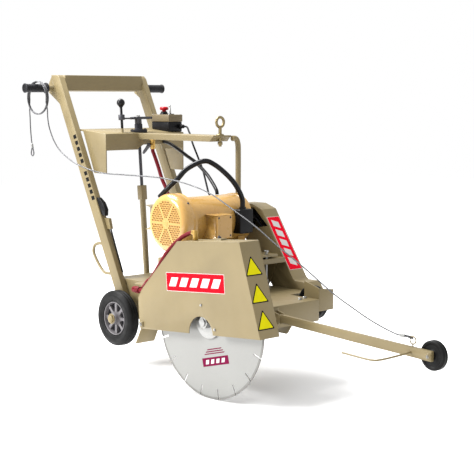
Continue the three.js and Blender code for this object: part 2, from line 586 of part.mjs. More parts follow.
// ---------------------------------------------------------------- pointer
function pointer() {
  const { x, y, z, height, thick, wheelX, wheelZ, wheelR } = POINTER;
  const front = DECK.front + GAP;
  const ear = (y0) => plateY([[front, 250], [x + 14, 258], [x + 14, 290], [front, 298]], y0, y0 + 5);
  const bracket = join(box(front, front + 4, y - 18, y + 18, 245, 303), ear(y - 14), ear(y + 9),
    rodY(y - 20, y + 16, x, z, 5, 16));
  part('pointer_bracket', bracket, tanPaint);
  const slope = (wheelZ - z) / (wheelX - x);
  const mid = (px) => z + slope * (px - x);
  const h = height / 2;
  const flat = plateY([
    [x - 4, z + 12], [x - 4, z - 12], [wheelX + 8, wheelZ - h], [wheelX + 8, wheelZ + h], [x + 22, mid(x + 22) + h],
  ], y - thick / 2, y + thick / 2);
  const pivotHole = rodY(y - 20, y + 20, x, z, 5 + GAP, 16);
  const ringX = 842;
  const ringR = 11;
  const wire = cable([[839, y - 4, 249], [836, y - 30, 246], [816, BLADE.y + 8, 238], [802, BLADE.y, 236],
    [682, BLADE.y, 240]], 3.2, 16, 8);
  const axle = join(rodY(y - 14, y + 30, wheelX, wheelZ, 6, 16), rodY(y - 12, y - 6, wheelX, wheelZ, 11, 6));
  const eye = new THREE.TorusGeometry(ringR, 2.2, 6, 16);
  eye.rotateX(Math.PI / 2);
  eye.translate(ringX, y, mid(ringX) + h + 19);
  const stem = rodZ(mid(ringX) + h - 2, mid(ringX) + h + 9, ringX, y, 2.2, 8);
  part('pointer_bar', join(cut(flat, pivotHole), wire, axle, solid(eye), stem), tanPaint);
  part('pointer_wheel', ring('y', [wheelX, y, wheelZ], [
    [7, 6 + GAP], [7, 16], [10, 32], [7, wheelR - 4], [10, wheelR], [25, wheelR], [28, wheelR - 4], [25, 32],
    [28, 16], [28, 6 + GAP],
  ], 24), blackRubber);
}

// ---------------------------------------------------------------- switch box and cables
function switchBox() {
  const { x0, x1, y0, y1, seam, top } = SWITCH;
  const midY = (y0 + y1) / 2;
  const base = plateY([
    [x0 + 2, consoleTop(x0 + 2) + GAP], [x1 - 2, consoleTop(x1 - 2) + GAP], [x1 - 2, seam], [x0 + 2, seam],
  ], y0 + 2, y1 - 2);
  part('switch_base', base, blackPlastic);
  const stopX = x0 + 38;
  const startX = x0 + 78;
  const stopHole = rodZ(seam - 5, top + 5, stopX, midY, 8 + GAP, 16);
  const startHole = box(startX - 8, startX + 8, midY - 8, midY + 8, top - 9, top + 5);
  const lid = box(x0, x1, y0, y1, seam + GAP, top);
  part('switch_lid', cut(lid, stopHole, startHole), tanPaint);
  const button = join(rodZ(seam + 4, top + 18, stopX, midY, 8, 16), rodZ(top + 17, top + 30, stopX, midY, 17, 24));
  part('stop_button', button, redPlastic);
  const toggle = join(rodY(midY - 7, midY + 7, startX, top - 2, 4.5, 12),
    bar([startX, midY, top - 2], [startX - 6, midY, top + 34], 4.2, 12));
  part('start_toggle', toggle, blackPlastic);
  const gland = join(rodX(x1 - 2 + GAP, x1 + 12, GLAND.y, GLAND.z, 10, 6), rodX(x1 + 11, x1 + 24, GLAND.y, GLAND.z, 7.5, 16));
  part('cable_gland', gland, blackPlastic);
}

function cables() {
  part('power_lead', cable([
    [CONSOLE.front + 2.5, 90, 804.5], [-612, 82, 802], [-580, 72, 798], [-510, 52, 781], [-436, 32, 759],
    [-365, 14, 738], [-312, 0, 716], [-266, -14, 695], [-229, -26, 673], [-199, -37, 654], [-188, -41, 644],
    [-186, -41, 633],
  ], 6.5, 26), blackRubber);
  part('control_lead', cable([
    [SWITCH.x1 + 24.4, GLAND.y, GLAND.z], [SWITCH.x1 + 31, GLAND.y, GLAND.z], [-600, 172, 861], [-560, 145, 856], [-528, 122, 847], [-472, 84, 830],
    [-448, 70, 808], [-396, 52, 756], [-350, 36, 709], [-308, 18, 655], [-288, 8, 633], [-270, 3, 614], [-258, 0, 603],
  ], 3.5, 24), blackRubber);
  part('motor_lead', cable([[-285, -222, 628], [-248, -210, 664], [-226, -190, 692], [-210, -160, 727],
    [-172, -110, 754], [-154, -80, 740], [-115, -40, 691], [-100, -20, 655], [-98, -2, 620], [-98, 0, 594.5]],
  9, 26), blackRubber);
}

function waterLine() {
  const { x, y, pivotZ, bottom } = VALVE;
  const sheet = CONSOLE.top - CONSOLE.wall - GAP;
  const valve = join(rodZ(bottom, pivotZ + 20, x, y, 10, 16), rodY(y - 14, y, x, pivotZ, 8, 16),
    rodZ(pivotZ + 18, sheet, x, y, 14, 6));
  part('water_valve', valve, brass);
  const lever = plateY([
    [x - 5, pivotZ + 6], [x - 34, pivotZ - 22], [x - 40, pivotZ - 32], [x - 34, pivotZ - 36], [x - 25, pivotZ - 30],
    [x + 6, pivotZ - 5],
  ], y - 19, y - 14 - GAP);
  part('valve_lever', join(lever, rodY(y - 21, y - 14 - GAP, x, pivotZ, 8, 12)), steel);
  part('supply_hose', cable([
    [x, y, bottom - GAP], [x, y, 772], [-600, 10, 758], [-579, 11, 717], [-556, 12, 667], [-531, 14, 626],
    [-515, 12, 588], [-492, 5, 478], [-462, -25, 370], [-436, -90, 330], [-402, -160, 322], [-366, -215, 321],
    [-353, -236, 313], [-351, -251, 300.5], [-351, -263.7, 299],
  ], 7, 30), redRubber);
  const coupling = join(rodX(-367.5, -335, -276, 299, 11, 16), rodX(-356, -340, -276, 299, 12.5, 6));
  part('hose_coupling', cut(coupling, box(-370, -330, -264.2, -260, 280, 320)), brass);
  part('guard_hose', cable([[-334.4, -276, 299], [-324, -276, 299.5], [-285, -294, 308], [-235, -326, 322],
    [-190, -350, 350], [-140, -361, 394], [-105, -364, 431], [-85, -362, 456], [-66, -356, 479], [-45, -349, 500],
    [-25, -342, 517], [0, -338, 530], [20, -337, 536]], 7, 26), redRubber);
  part('hose_elbow', join(rodZ(512.5, 545, 37, -337, 9, 16), rodX(23, 37, -337, 536, 9, 16)), brass);
}

// ---------------------------------------------------------------- pull rope
function pullRope() {
  const { r, coil } = ROPE;
  const run = [
    [834, -225, 293], [798, -227, 295], [743, -228, 308], [687, -230, 327], [627, -232, 352], [555, -235, 385],
    [424, -239, 458], [327, -243, 508], [226, -246, 564], [122, -250, 613], [14, -253, 659], [-97, -257, 685],
    [-229, -261, 699], [-416, -268, 701], [-546, -272, 702], [-620, -276, 711], [-673, -279, 723],
    [-714, -281, 735], [-762, -283, 756], [-802, -285, 781], [-834, -286, 814], [-852, -287, 845],
    [-862, -288, 870], [-868, -288, 900], [-869.5, -288, 930],
  ];
  part('rope_run', cable(run, r, 70), steel);
  const oval = (inset) => circle(0, 0, 1, 24).map(([u, v]) => [
    coil.x + u * (coil.rx - inset), coil.z + v * (coil.rz - inset)]);
  part('rope_coil', plateY(oval(0), coil.y - 7.5, coil.y + 7.5, [oval(coil.thick)]), steel);
  const tail = [[-987.5, coil.y, 932], [-985.5, coil.y, 895], [-984, coil.y, 860], [-980, coil.y, 818], [-973, coil.y, 781]];
  part('rope_tail', cable(tail, r, 12), steel);
}

baseFrame();
motorStand();
motor();
beltDrive();
beltGuard();
bearing('arbor_bearing_right', -205);
bearing('arbor_bearing_left', -42);
arborAndBlade();
bladeGuard();
handleFrame();
grip('grip_right', -1);
grip('grip_left', 1);
console();
lifting();
crankAndLift();
carriage();
rearWheel(-1, 'right');
rearWheel(1, 'left');
frontWheel('right', FRONT.right);
frontWheel('left', FRONT.left);
pointer();
switchBox();
cables();
waterLine();
pullRope();

model.position.set(10, 24, 0);

export default model;
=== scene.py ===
"""Looks of the walk-behind concrete saw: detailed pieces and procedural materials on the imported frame."""
import json
import math

import bmesh
import bpy
from mathutils import Matrix, Vector
from mathutils.geometry import tessellate_polygon


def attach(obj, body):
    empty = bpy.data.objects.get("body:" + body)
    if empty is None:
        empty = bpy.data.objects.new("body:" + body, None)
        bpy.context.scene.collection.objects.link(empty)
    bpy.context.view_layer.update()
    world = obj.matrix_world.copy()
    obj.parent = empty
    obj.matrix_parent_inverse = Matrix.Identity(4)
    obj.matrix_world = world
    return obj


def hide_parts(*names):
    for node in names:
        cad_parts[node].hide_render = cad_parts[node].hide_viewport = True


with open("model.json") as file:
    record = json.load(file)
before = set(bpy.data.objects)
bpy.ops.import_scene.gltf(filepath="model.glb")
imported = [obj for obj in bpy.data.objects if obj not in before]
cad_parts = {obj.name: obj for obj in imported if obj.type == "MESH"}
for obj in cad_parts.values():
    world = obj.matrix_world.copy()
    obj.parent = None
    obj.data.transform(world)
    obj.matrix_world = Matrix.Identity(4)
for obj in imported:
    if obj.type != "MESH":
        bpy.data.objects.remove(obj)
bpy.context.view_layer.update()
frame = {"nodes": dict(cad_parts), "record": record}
TAU = 2 * math.pi
ARBOR_X, ARBOR_Z, BLADE_Y = 106, 254, -337


def P(x, y, z):
    """A point of the design, in millimetres from the blade's own frame, as metres in the row frame."""
    return Vector(((x + 10) / 1000, (y + 24) / 1000, z / 1000))


# ---------------- camera
def add_camera():
    data = bpy.data.cameras.new("camera")
    data.lens = 93.27
    data.sensor_width = 36
    data.clip_end = 60
    camera = bpy.data.objects.new("camera", data)
    right = Vector((0.6812, 0.7321, 0.0)).normalized()
    back = Vector((0.7274, -0.6768, 0.1132)).normalized()
    up = back.cross(right).normalized()
    right = up.cross(back)
    turn = Matrix((right, up, back)).transposed().to_4x4()
    camera.matrix_world = Matrix.Translation(P(3033.3, -2940.5, 975.0)) @ turn
    bpy.context.scene.collection.objects.link(camera)
    bpy.context.scene.camera = camera


add_camera()
bpy.context.scene.view_settings.view_transform = "Standard"
bpy.context.scene.view_settings.look = "None"


# ---------------- materials
def srgb(r, g, b):
    def linear(value):
        value /= 255
        return value / 12.92 if value <= 0.04045 else ((value + 0.055) / 1.055) ** 2.4
    return (linear(r), linear(g), linear(b), 1)


class Nodes:
    """A material's node tree with short calls to add and join nodes."""

    def __init__(self, name, roughness=0.5, metallic=0.0, coat=0.0, specular=0.5):
        self.material = bpy.data.materials.new(name)
        self.material.use_nodes = True
        self.tree = self.material.node_tree
        self.shader = self.tree.nodes["Principled BSDF"]
        self.settle(self.shader, {
            "Roughness": roughness, "Metallic": metallic, "Coat Weight": coat,
            "Specular IOR Level": specular})
        self.place = self.add("ShaderNodeTexCoord").outputs["Object"]

    def settle(self, node, values):
        for socket, value in values.items():
            node.inputs[socket].default_value = value

    def add(self, kind, values=None, **settings):
        node = self.tree.nodes.new(kind)
        for key, value in settings.items():
            setattr(node, key, value)
        self.settle(node, values or {})
        return node

    def link(self, source, target):
        self.tree.links.new(source, target)

    def noise(self, scale, detail=4.0, stretch=(1, 1, 1)):
        mapping = self.add("ShaderNodeMapping", {"Scale": stretch})
        self.link(self.place, mapping.inputs["Vector"])
        noise = self.add("ShaderNodeTexNoise", {"Scale": scale, "Detail": detail, "Roughness": 0.55})
        self.link(mapping.outputs["Vector"], noise.inputs["Vector"])
        return noise.outputs["Fac"]

    def ramp(self, source, stops):
        ramp = self.add("ShaderNodeValToRGB")
        elements = ramp.color_ramp.elements
        while len(elements) < len(stops):
            elements.new(0.5)
        for element, (position, colour) in zip(elements, stops):
            element.position = position
            element.color = colour
        self.link(source, ramp.inputs["Fac"])
        return ramp.outputs["Color"]

    def mix(self, factor, a, b):
        mix = self.add("ShaderNodeMix", data_type="RGBA")
        for socket, value in ((mix.inputs[0], factor), (mix.inputs[6], a), (mix.inputs[7], b)):
            if isinstance(value, bpy.types.NodeSocket):
                self.link(value, socket)
            else:
                socket.default_value = value
        return mix.outputs[2]

    def remap(self, source, low, high, start=0.0, end=1.0):
        limits = {"From Min": low, "From Max": high, "To Min": start, "To Max": end}
        remap = self.add("ShaderNodeMapRange", limits)
        self.link(source, remap.inputs["Value"])
        return remap.outputs["Result"]

    def bump(self, source, strength, distance=0.001):
        bump = self.add("ShaderNodeBump", {"Strength": strength, "Distance": distance})
        self.link(source, bump.inputs["Height"])
        self.link(bump.outputs["Normal"], self.shader.inputs["Normal"])

    def colour(self, source):
        self.link(source, self.shader.inputs["Base Color"])

    def rough(self, source):
        self.link(source, self.shader.inputs["Roughness"])


def grey(value):
    return (value, value, value, 1)


def shade(colour, factor):
    return (colour[0] * factor, colour[1] * factor, colour[2] * factor, 1)


EDGE_MARK = "edge_mark"


def enamel(name, colour, worn_and_highlit, roughness=0.42, wear_and_highlight=0.5, mottling=0.10, coat=0.0):
    """Sprayed enamel: faint mottling, orange peel, dusty streaks, and paint rubbed off sharp edges,
    lightened there partly by that rubbing and partly as a painted highlight.
    """
    n = Nodes(name, roughness, coat=coat, specular=0.35)
    dim, light = shade(colour, 1 - mottling), shade(colour, 1 + mottling * 0.6)
    cloud = n.ramp(n.noise(5, 5), [(0.3, dim), (0.7, light)])
    streaks = n.remap(n.noise(9, 6, stretch=(1, 1, 0.25)), 0.55, 0.8)
    dusty = n.mix(n.remap(streaks, 0, 1, 0, 0.22), cloud, shade(colour, 0.78))
    # Bevelled edge faces are lightened: partly paint rubbed through, partly a painted highlight along the
    # edges.
    edge = n.add("ShaderNodeAttribute", attribute_name=EDGE_MARK).outputs["Fac"]
    chip_and_highlight_noise = n.remap(n.noise(60, 6), 0.42, 0.62, 0.25, 1)
    chipped_and_highlit = n.add("ShaderNodeMath", operation="MULTIPLY")
    n.link(edge, chipped_and_highlit.inputs[0])
    n.link(chip_and_highlight_noise, chipped_and_highlit.inputs[1])
    n.colour(n.mix(n.remap(chipped_and_highlit.outputs[0], 0, 1, 0, wear_and_highlight), dusty, worn_and_highlit))
    n.rough(n.remap(n.noise(24, 4), 0.3, 0.7, roughness - 0.07, roughness + 0.1))
    n.bump(n.noise(900, 2), 0.05, 0.0004)
    return n.material


def metal(name, colour, roughness=0.32, scale=300, depth=0.08, stain=0.12):
    """Plated or machined steel: fine grain and dull stains."""
    n = Nodes(name, roughness, metallic=0.85)
    grain = n.noise(scale, 3)
    base = n.ramp(grain, [(0.25, shade(colour, 0.85)), (0.75, shade(colour, 1.06))])
    stains = n.remap(n.noise(14, 5), 0.5, 0.75)
    n.colour(n.mix(n.remap(stains, 0, 1, 0, stain), base, shade(colour, 0.55)))
    n.rough(n.remap(n.noise(30, 4), 0.3, 0.7, roughness - 0.06, roughness + 0.12))
    n.bump(grain, depth, 0.0004)
    return n.material


def rubber(name, colour, roughness=0.72, scuff=0.25, scale=700):
    """Moulded rubber: fine pores, grey scuffs and dust."""
    n = Nodes(name, roughness, specular=0.14)
    scuffs = n.remap(n.noise(22, 6, stretch=(1, 1, 2)), 0.5, 0.72)
    dusty = tuple(0.75 * c + 0.25 * 0.18 for c in colour[:3]) + (1,)
    n.colour(n.mix(n.remap(scuffs, 0, 1, 0, scuff), colour, dusty))
    n.rough(n.remap(n.noise(40, 3), 0.3, 0.7, roughness - 0.1, roughness + 0.12))
    n.bump(n.noise(scale, 3), 0.12, 0.0005)
    return n.material


def plastic(name, colour, roughness=0.4, grain=0.08):
    """Moulded plastic: fine leather grain and slight colour variation."""
    n = Nodes(name, roughness, specular=0.16)
    n.colour(n.ramp(n.noise(12, 4), [(0.3, shade(colour, 0.88)), (0.7, shade(colour, 1.08))]))
    n.rough(n.remap(n.noise(60, 3), 0.3, 0.7, roughness - 0.06, roughness + 0.1))
    cells = n.add("ShaderNodeTexVoronoi", {"Scale": 900})
    n.link(n.place, cells.inputs["Vector"])
    n.bump(cells.outputs["Distance"], grain, 0.0003)
    return n.material


def film(name, colour, roughness=0.3):
    """Printed vinyl film: slight print mottling and a soft gloss."""
    n = Nodes(name, roughness, specular=0.05)
    n.colour(n.ramp(n.noise(40, 3), [(0.3, shade(colour, 0.94)), (0.7, shade(colour, 1.04))]))
    n.bump(n.noise(300, 2), 0.03, 0.0003)
    return n.material


def stranded(name, colour, strands, pitch, dark):
    """Twisted steel rope: strands wind round the tube, read from its own coordinates, with painted shade in
    the grooves between them.
    """
    n = Nodes(name, 0.42, metallic=0.7)
    split = n.add("ShaderNodeSeparateXYZ")
    n.link(n.add("ShaderNodeTexCoord").outputs["UV"], split.inputs["Vector"])
    around = n.add("ShaderNodeMath", {1: strands * TAU}, operation="MULTIPLY")
    n.link(split.outputs["X"], around.inputs[0])
    along = n.add("ShaderNodeMath", {1: TAU / pitch * strands}, operation="MULTIPLY_ADD")
    n.link(split.outputs["Y"], along.inputs[0])
    n.link(around.outputs[0], along.inputs[2])
    wave = n.add("ShaderNodeMath", operation="SINE")
    n.link(along.outputs[0], wave.inputs[0])
    # The colour goes to the dark value where the wave is low: painted shade in the grooves between strands.
    n.colour(n.ramp(n.remap(wave.outputs[0], -1, 1), [(0.1, dark), (0.55, colour)]))
    n.bump(wave.outputs[0], 0.5, 0.0005)
    return n.material


def blade_metal(name):
    """Ground blade core: rings of fine grinding round the arbor, with faint heat marks."""
    n = Nodes(name, 0.38, metallic=0.35)
    shifted = n.add("ShaderNodeVectorMath", {1: P(ARBOR_X, BLADE_Y, ARBOR_Z)}, operation="SUBTRACT")
    n.link(n.place, shifted.inputs[0])
    length = n.add("ShaderNodeVectorMath", operation="LENGTH")
    n.link(shifted.outputs["Vector"], length.inputs[0])
    rings = n.add("ShaderNodeTexNoise", noise_dimensions="1D")
    n.settle(rings, {"Scale": 900})
    n.link(length.outputs["Value"], rings.inputs["W"])
    light, dim = srgb(137, 137, 134), srgb(127, 127, 124)
    base = n.ramp(rings.outputs["Fac"], [(0.3, dim), (0.7, light)])
    clouds = n.remap(n.noise(8, 5), 0.45, 0.75)
    n.colour(n.mix(n.remap(clouds, 0, 1, 0, 0.25), base, srgb(124, 123, 120)))
    n.bump(rings.outputs["Fac"], 0.08, 0.0004)
    return n.material


TAN = srgb(117, 104, 73)
M = {
    "tan": enamel("tan_paint", TAN, srgb(152, 140, 108), wear_and_highlight=0.6),
    "tan_dark": enamel("tan_paint_dark", srgb(98, 86, 62), srgb(128, 116, 88), wear_and_highlight=0.5),
    "gold": enamel("gold_paint", srgb(178, 138, 72), srgb(200, 166, 104), 0.28, 0.35, 0.05, 0.6),
    "rim": enamel("rim_paint", srgb(100, 97, 99), srgb(124, 122, 122), 0.4, 0.4),
    "blade": blade_metal("blade_steel"),
    "segment": metal("segment_steel", srgb(128, 127, 124), 0.6, scale=500, depth=0.4),
    "steel": metal("plated_steel", srgb(150, 150, 148), 0.32),
    "zinc": metal("zinc_steel", srgb(128, 114, 82), 0.36),
    "dark_steel": metal("dark_steel", srgb(70, 70, 74), 0.42),
    "iron": metal("cast_iron", srgb(52, 52, 56), 0.55, scale=220, depth=0.35),
    "rubber": rubber("black_rubber", srgb(30, 30, 33), 0.5),
    "tyre": rubber("wheel_rubber", srgb(10, 10, 10), 0.5, 0.12, 500),
    "hose": rubber("red_rubber", srgb(96, 10, 22), 0.42, 0.12, 400),
    "black": plastic("black_plastic", srgb(14, 14, 16), 0.32),
    "black_gloss": plastic("black_gloss", srgb(20, 20, 22), 0.16, 0.02),
    "red": plastic("red_plastic", srgb(150, 6, 20), 0.28, 0.03),
    "brass": metal("brass", srgb(170, 138, 74), 0.3, scale=240),
    "rope": stranded("rope_steel", srgb(98, 98, 100), 6, 0.03, srgb(40, 40, 42)),
    "film_red": film("film_red", srgb(172, 0, 22), 0.6),
    # A brighter copy of the red film for the belt guard's panel: painted light, standing in for the light
    # falling on that slope.
    "film_red_painted_light": film("film_red_painted_light", srgb(205, 4, 34), 0.6),
    "film_white": film("film_white", srgb(185, 184, 182)),
    "film_yellow": film("film_yellow", srgb(196, 188, 10), 0.6),
    "film_black": film("film_black", srgb(20, 20, 20)),
    "film_magenta": film("film_magenta", srgb(100, 6, 50), 0.45),
}


# ---------------- shape helpers, in design millimetres
TO_ROW = Matrix.Scale(0.001, 4) @ Matrix.Translation((10, 24, 0))
X, Y, Z = Vector((1, 0, 0)), Vector((0, 1, 0)), Vector((0, 0, 1))


def facing(point, direction, across=None):
    """The place of a shape whose own +Z points along direction."""
    w = Vector(direction).normalized()
    across = Vector(across) if across else (X if abs(w.x) < 0.9 else Y)
    v = w.cross(across).normalized()
    u = v.cross(w)
    return Matrix.Translation(point) @ Matrix((u, v, w)).transposed().to_4x4()


def along_y(x, z, y=0):
    """Own Z along the design's Y, own X along X and own Y along -Z."""
    return facing((x, y, z), Y, X)


SIDEWAYS = facing((0, 0, 0), -Y, X)


def circle(r, sides, start=0.0, sweep=TAU):
    count = sides if sweep == TAU else sides + 1
    return [(r * math.cos(start + sweep * i / sides), r * math.sin(start + sweep * i / sides))
            for i in range(count)]


def rounded(corners, radius, steps=4):
    """The outline with each corner swept by an arc, as large as its two sides allow."""
    out = []
    count = len(corners)
    for i, corner in enumerate(corners):
        here = Vector(corner)
        before, after = Vector(corners[i - 1]) - here, Vector(corners[(i + 1) % count]) - here
        turn = before.angle(after, 0)
        if turn > 3.1 or turn < 0.02:
            out.append(tuple(here))
            continue
        reach = min(radius / math.tan(turn / 2), 0.49 * before.length, 0.49 * after.length)
        start, end = here + before.normalized() * reach, here + after.normalized() * reach
        for k in range(steps + 1):
            t = k / steps
            out.append(tuple(start * (1 - t) ** 2 + here * 2 * t * (1 - t) + end * t * t))
    return out


def spline(points, step):
    """A centripetal curve through the points, sampled about every step."""
    points = [Vector(p) for p in points]
    ends = [2 * points[0] - points[1]] + points + [2 * points[-1] - points[-2]]
    line = []
    for a, b, c, d in zip(ends, ends[1:], ends[2:], ends[3:]):
        ta = 0.0
        tb = ta + math.sqrt((b - a).length)
        tc = tb + math.sqrt((c - b).length)
        td = tc + math.sqrt((d - c).length)
        count = max(2, round((c - b).length / step))
        for k in range(count):
            t = tb + (tc - tb) * k / count
            ab = (a * (tb - t) + b * (t - ta)) / (tb - ta)
            bc = (b * (tc - t) + c * (t - tb)) / (tc - tb)
            cd = (c * (td - t) + d * (t - tc)) / (td - tc)
            abc = (ab * (tc - t) + bc * (t - ta)) / (tc - ta)
            bcd = (bc * (td - t) + cd * (t - tb)) / (td - tb)
            line.append((abc * (tc - t) + bcd * (t - tb)) / (tc - tb))
    return line + [points[-1]]


class Shape:
    """A mesh under construction."""

    def __init__(self):
        self.bm = bmesh.new()

    def skin(self, rings, at=Matrix(), wrap=False, uv=None):
        rows = [[self.bm.verts.new(at @ Vector(p)) for p in ring] for ring in rings]
        count = len(rings[0])
        pairs = list(zip(rows, rows[1:])) + ([(rows[-1], rows[0])] if wrap else [])
        layer = self.bm.loops.layers.uv.verify() if uv else None
        for j, (low, high) in enumerate(pairs):
            for i in range(count):
                k = (i + 1) % count
                face = self.bm.faces.new((low[i], low[k], high[k], high[i]))
                if uv:
                    for loop, (a, b) in zip(face.loops, ((i, j), (i + 1, j), (i + 1, j + 1), (i, j + 1))):
                        loop[layer].uv = (a / count, uv[b])
        if not wrap:
            self.bm.faces.new(rows[0][::-1])
            self.bm.faces.new(rows[-1])
        return self

    def lathe(self, profile, at=Matrix(), segments=64, ring=False):
        """Profile of (along own Z, radius) pairs, turned round own Z; a ring's profile closes on itself."""
        rings = [[(u, v, along) for u, v in circle(max(r, 0.01), segments)] for along, r in profile]
        return self.skin(rings, at, wrap=ring)

    def plate(self, outline, z0, z1, at=Matrix(), holes=()):
        """Outline in own X and Y, from z0 to z1 along own Z, with holes through it."""
        loops = [list(outline)] + [list(hole) for hole in holes]
        flat = [[Vector((u, v, 0)) for u, v in loop] for loop in loops]
        triangles = tessellate_polygon(flat)
        points = [p for loop in flat for p in loop]
        low = [self.bm.verts.new(at @ (p + Z * z0)) for p in points]
        high = [self.bm.verts.new(at @ (p + Z * z1)) for p in points]
        for a, b, c in triangles:
            self.bm.faces.new((low[a], low[b], low[c]))
            self.bm.faces.new((high[c], high[b], high[a]))
        first = 0
        for loop in loops:
            count = len(loop)
            for i in range(count):
                a, b = first + i, first + (i + 1) % count
                self.bm.faces.new((low[a], low[b], high[b], high[a]))
            first += count
        return self

    def box(self, x0, x1, y0, y1, z0, z1, at=Matrix()):
        return self.plate([(x0, y0), (x1, y0), (x1, y1), (x0, y1)], z0, z1, at)

    def rod(self, start, end, r, sides=24):
        start, end = Vector(start), Vector(end)
        length = (end - start).length
        edge = min(0.8, r * 0.3)
        profile = [(0, r - edge), (edge, r), (length - edge, r), (length, r - edge)]
        return self.lathe(profile, facing(start, end - start), sides)

    def sweep(self, line, section, twist=0.0, wrap=False, across=None, uv=False):
        """A section carried along a line without twisting, or turned twist radians per millimetre."""
        line = [Vector(p) for p in line]
        count = len(line)
        rings = []
        lengths = [0.0]
        heading = (line[1] - line[0]).normalized()
        side = Vector(across) if across else (Z if abs(heading.z) < 0.9 else X)
        side = (side - heading * side.dot(heading)).normalized()
        for i, point in enumerate(line):
            before = line[i - 1] if i or wrap else line[0]
            after = line[(i + 1) % count] if i < count - 1 or wrap else line[-1]
            heading = (after - before).normalized()
            side = (side - heading * side.dot(heading)).normalized()
            normal = heading.cross(side)
            if i:
                lengths.append(lengths[-1] + (point - line[i - 1]).length)
            turn = twist * lengths[-1]
            c, s = math.cos(turn), math.sin(turn)
            rings.append([point + side * (u * c - v * s) + normal * (u * s + v * c) for u, v in section])
        return self.skin(rings, wrap=wrap, uv=[length / 1000 for length in lengths] if uv else None)

    def ball(self, r, at=Matrix(), low=-1.0, high=1.0):
        steps = 14
        a0, a1 = math.asin(low), math.asin(high)
        angles = [a0 + (a1 - a0) * k / steps for k in range(steps + 1)]
        return self.lathe([(r * math.sin(a), r * math.cos(a)) for a in angles], at, 32)

    def bolt(self, point, direction, size=8, washer=True):
        """A hexagon head, on a washer unless told otherwise."""
        at = facing(point, direction)
        base = 1.6 if washer else 0.0
        if washer:
            self.lathe([(0, 0.5), (0, size), (1.2, size), (base, size - 0.5), (base, 0.5)], at, 28)
        r = size * 0.92
        high = base + size * 0.62
        profile = [(base, r - 0.4), (base + 0.5, r), (high - 0.9, r), (high, r * 0.84), (high, 0.5)]
        return self.lathe(profile, at, 6)

    def bevel(self, width, corner=25, segments=2):
        """Softens the corners between flat faces, leaving out edges too short to take it."""
        bm = self.bm
        bmesh.ops.remove_doubles(bm, verts=bm.verts, dist=0.005)
        bmesh.ops.dissolve_limit(bm, angle_limit=math.radians(0.6), verts=bm.verts, edges=bm.edges)
        sharp = [
            e for e in bm.edges
            if len(e.link_faces) == 2 and e.calc_face_angle(0) > math.radians(corner)
            and e.calc_length() > 2.5 * width
        ]
        made = bmesh.ops.bevel(bm, geom=sharp, offset=width, segments=segments, profile=0.5,
                               affect="EDGES", clamp_overlap=False)
        marks = bm.faces.layers.float
        mark = marks.get(EDGE_MARK) or marks.new(EDGE_MARK)
        for face in made["faces"]:
            if face.is_valid:
                face[mark] = 1.0
        return self

    def piece(self, name, material, body="chassis", replaces="", smooth=32):
        bmesh.ops.remove_doubles(self.bm, verts=self.bm.verts, dist=0.002)
        bmesh.ops.recalc_face_normals(self.bm, faces=self.bm.faces)
        mesh = bpy.data.meshes.new(name)
        self.bm.to_mesh(mesh)
        self.bm.free()
        mesh.transform(TO_ROW)
        mesh.materials.append(M[material])
        mesh.polygons.foreach_set("use_smooth", [True] * len(mesh.polygons))
        mesh.set_sharp_from_angle(angle=math.radians(smooth))
        piece = bpy.data.objects.new(name, mesh)
        bpy.context.scene.collection.objects.link(piece)
        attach(piece, body)
        if replaces:
            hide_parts(*replaces.split())
        return piece


BODY_OF = {node: body for body, nodes in frame["record"]["behaviour"]["bodies"].items() for node in nodes}


def refined(node, material, width=1.0, segments=2):
    """A node's own shape with its corners softened, standing for the node."""
    shape = Shape()
    shape.bm.from_mesh(frame["nodes"][node].data)
    bmesh.ops.transform(shape.bm, matrix=TO_ROW.inverted(), verts=shape.bm.verts)
    shape.bevel(width, segments=segments)
    return shape.piece(f"{node}_fine", material, BODY_OF[node], node)


# ---------------- pull rope
ROPE_R = 2.4
COIL = Vector((-930, -289, 972))
COIL_RX, COIL_RZ = 64.5, 61.5
RUN = [
    (816, -221, 294.6), (825, -212.5, 292.6), (834, -207.5, 290.5), (840.5, -213, 287.8),
    (834, -218.5, 290.5), (825, -221.5, 292.4), (816, -224.5, 294), (798, -227, 295), (743, -228, 308),
    (687, -230, 327), (627, -232, 352), (555, -235, 385), (424, -239, 458), (327, -243, 508),
    (226, -246, 564), (122, -250, 613), (14, -253, 659), (-97, -257, 685), (-229, -261, 699),
    (-416, -268, 701), (-546, -272, 702), (-620, -276, 711), (-673, -279, 723), (-714, -281, 735),
    (-762, -283, 756), (-802, -285, 781), (-834, -286, 814), (-852, -287, 845), (-862, -288, 870),
    (-868, -288, 900), (-869.5, -288, 930),
]
ROPE_TAIL = [
    (-987.5, -289, 932), (-985.5, -289, 895), (-984, -289, 860), (-980, -289, 818), (-973, -289, 781),
]
TAIL_EYE = [
    (-974.5, -289, 786), (-978, -289, 774), (-981.5, -289, 764), (-981, -289, 756), (-973, -289, 750),
    (-965, -289, 756), (-964.5, -289, 764), (-968, -289, 774), (-971.5, -289, 786),
]


def coil_turns(first, turns, pitch):
    """The coil's turns lie side by side, a rope's width apart, from the run's end to the tail's start."""
    steps = round(turns * 40)
    middle = turns / 2
    out = []
    for k in range(steps + 1):
        turn = turns * k / steps
        angle = first + TAU * turn
        across, up = COIL_RX * math.cos(angle), COIL_RZ * math.sin(angle)
        out.append(COIL + Vector((across, (middle - turn) * pitch, up)))
    return out


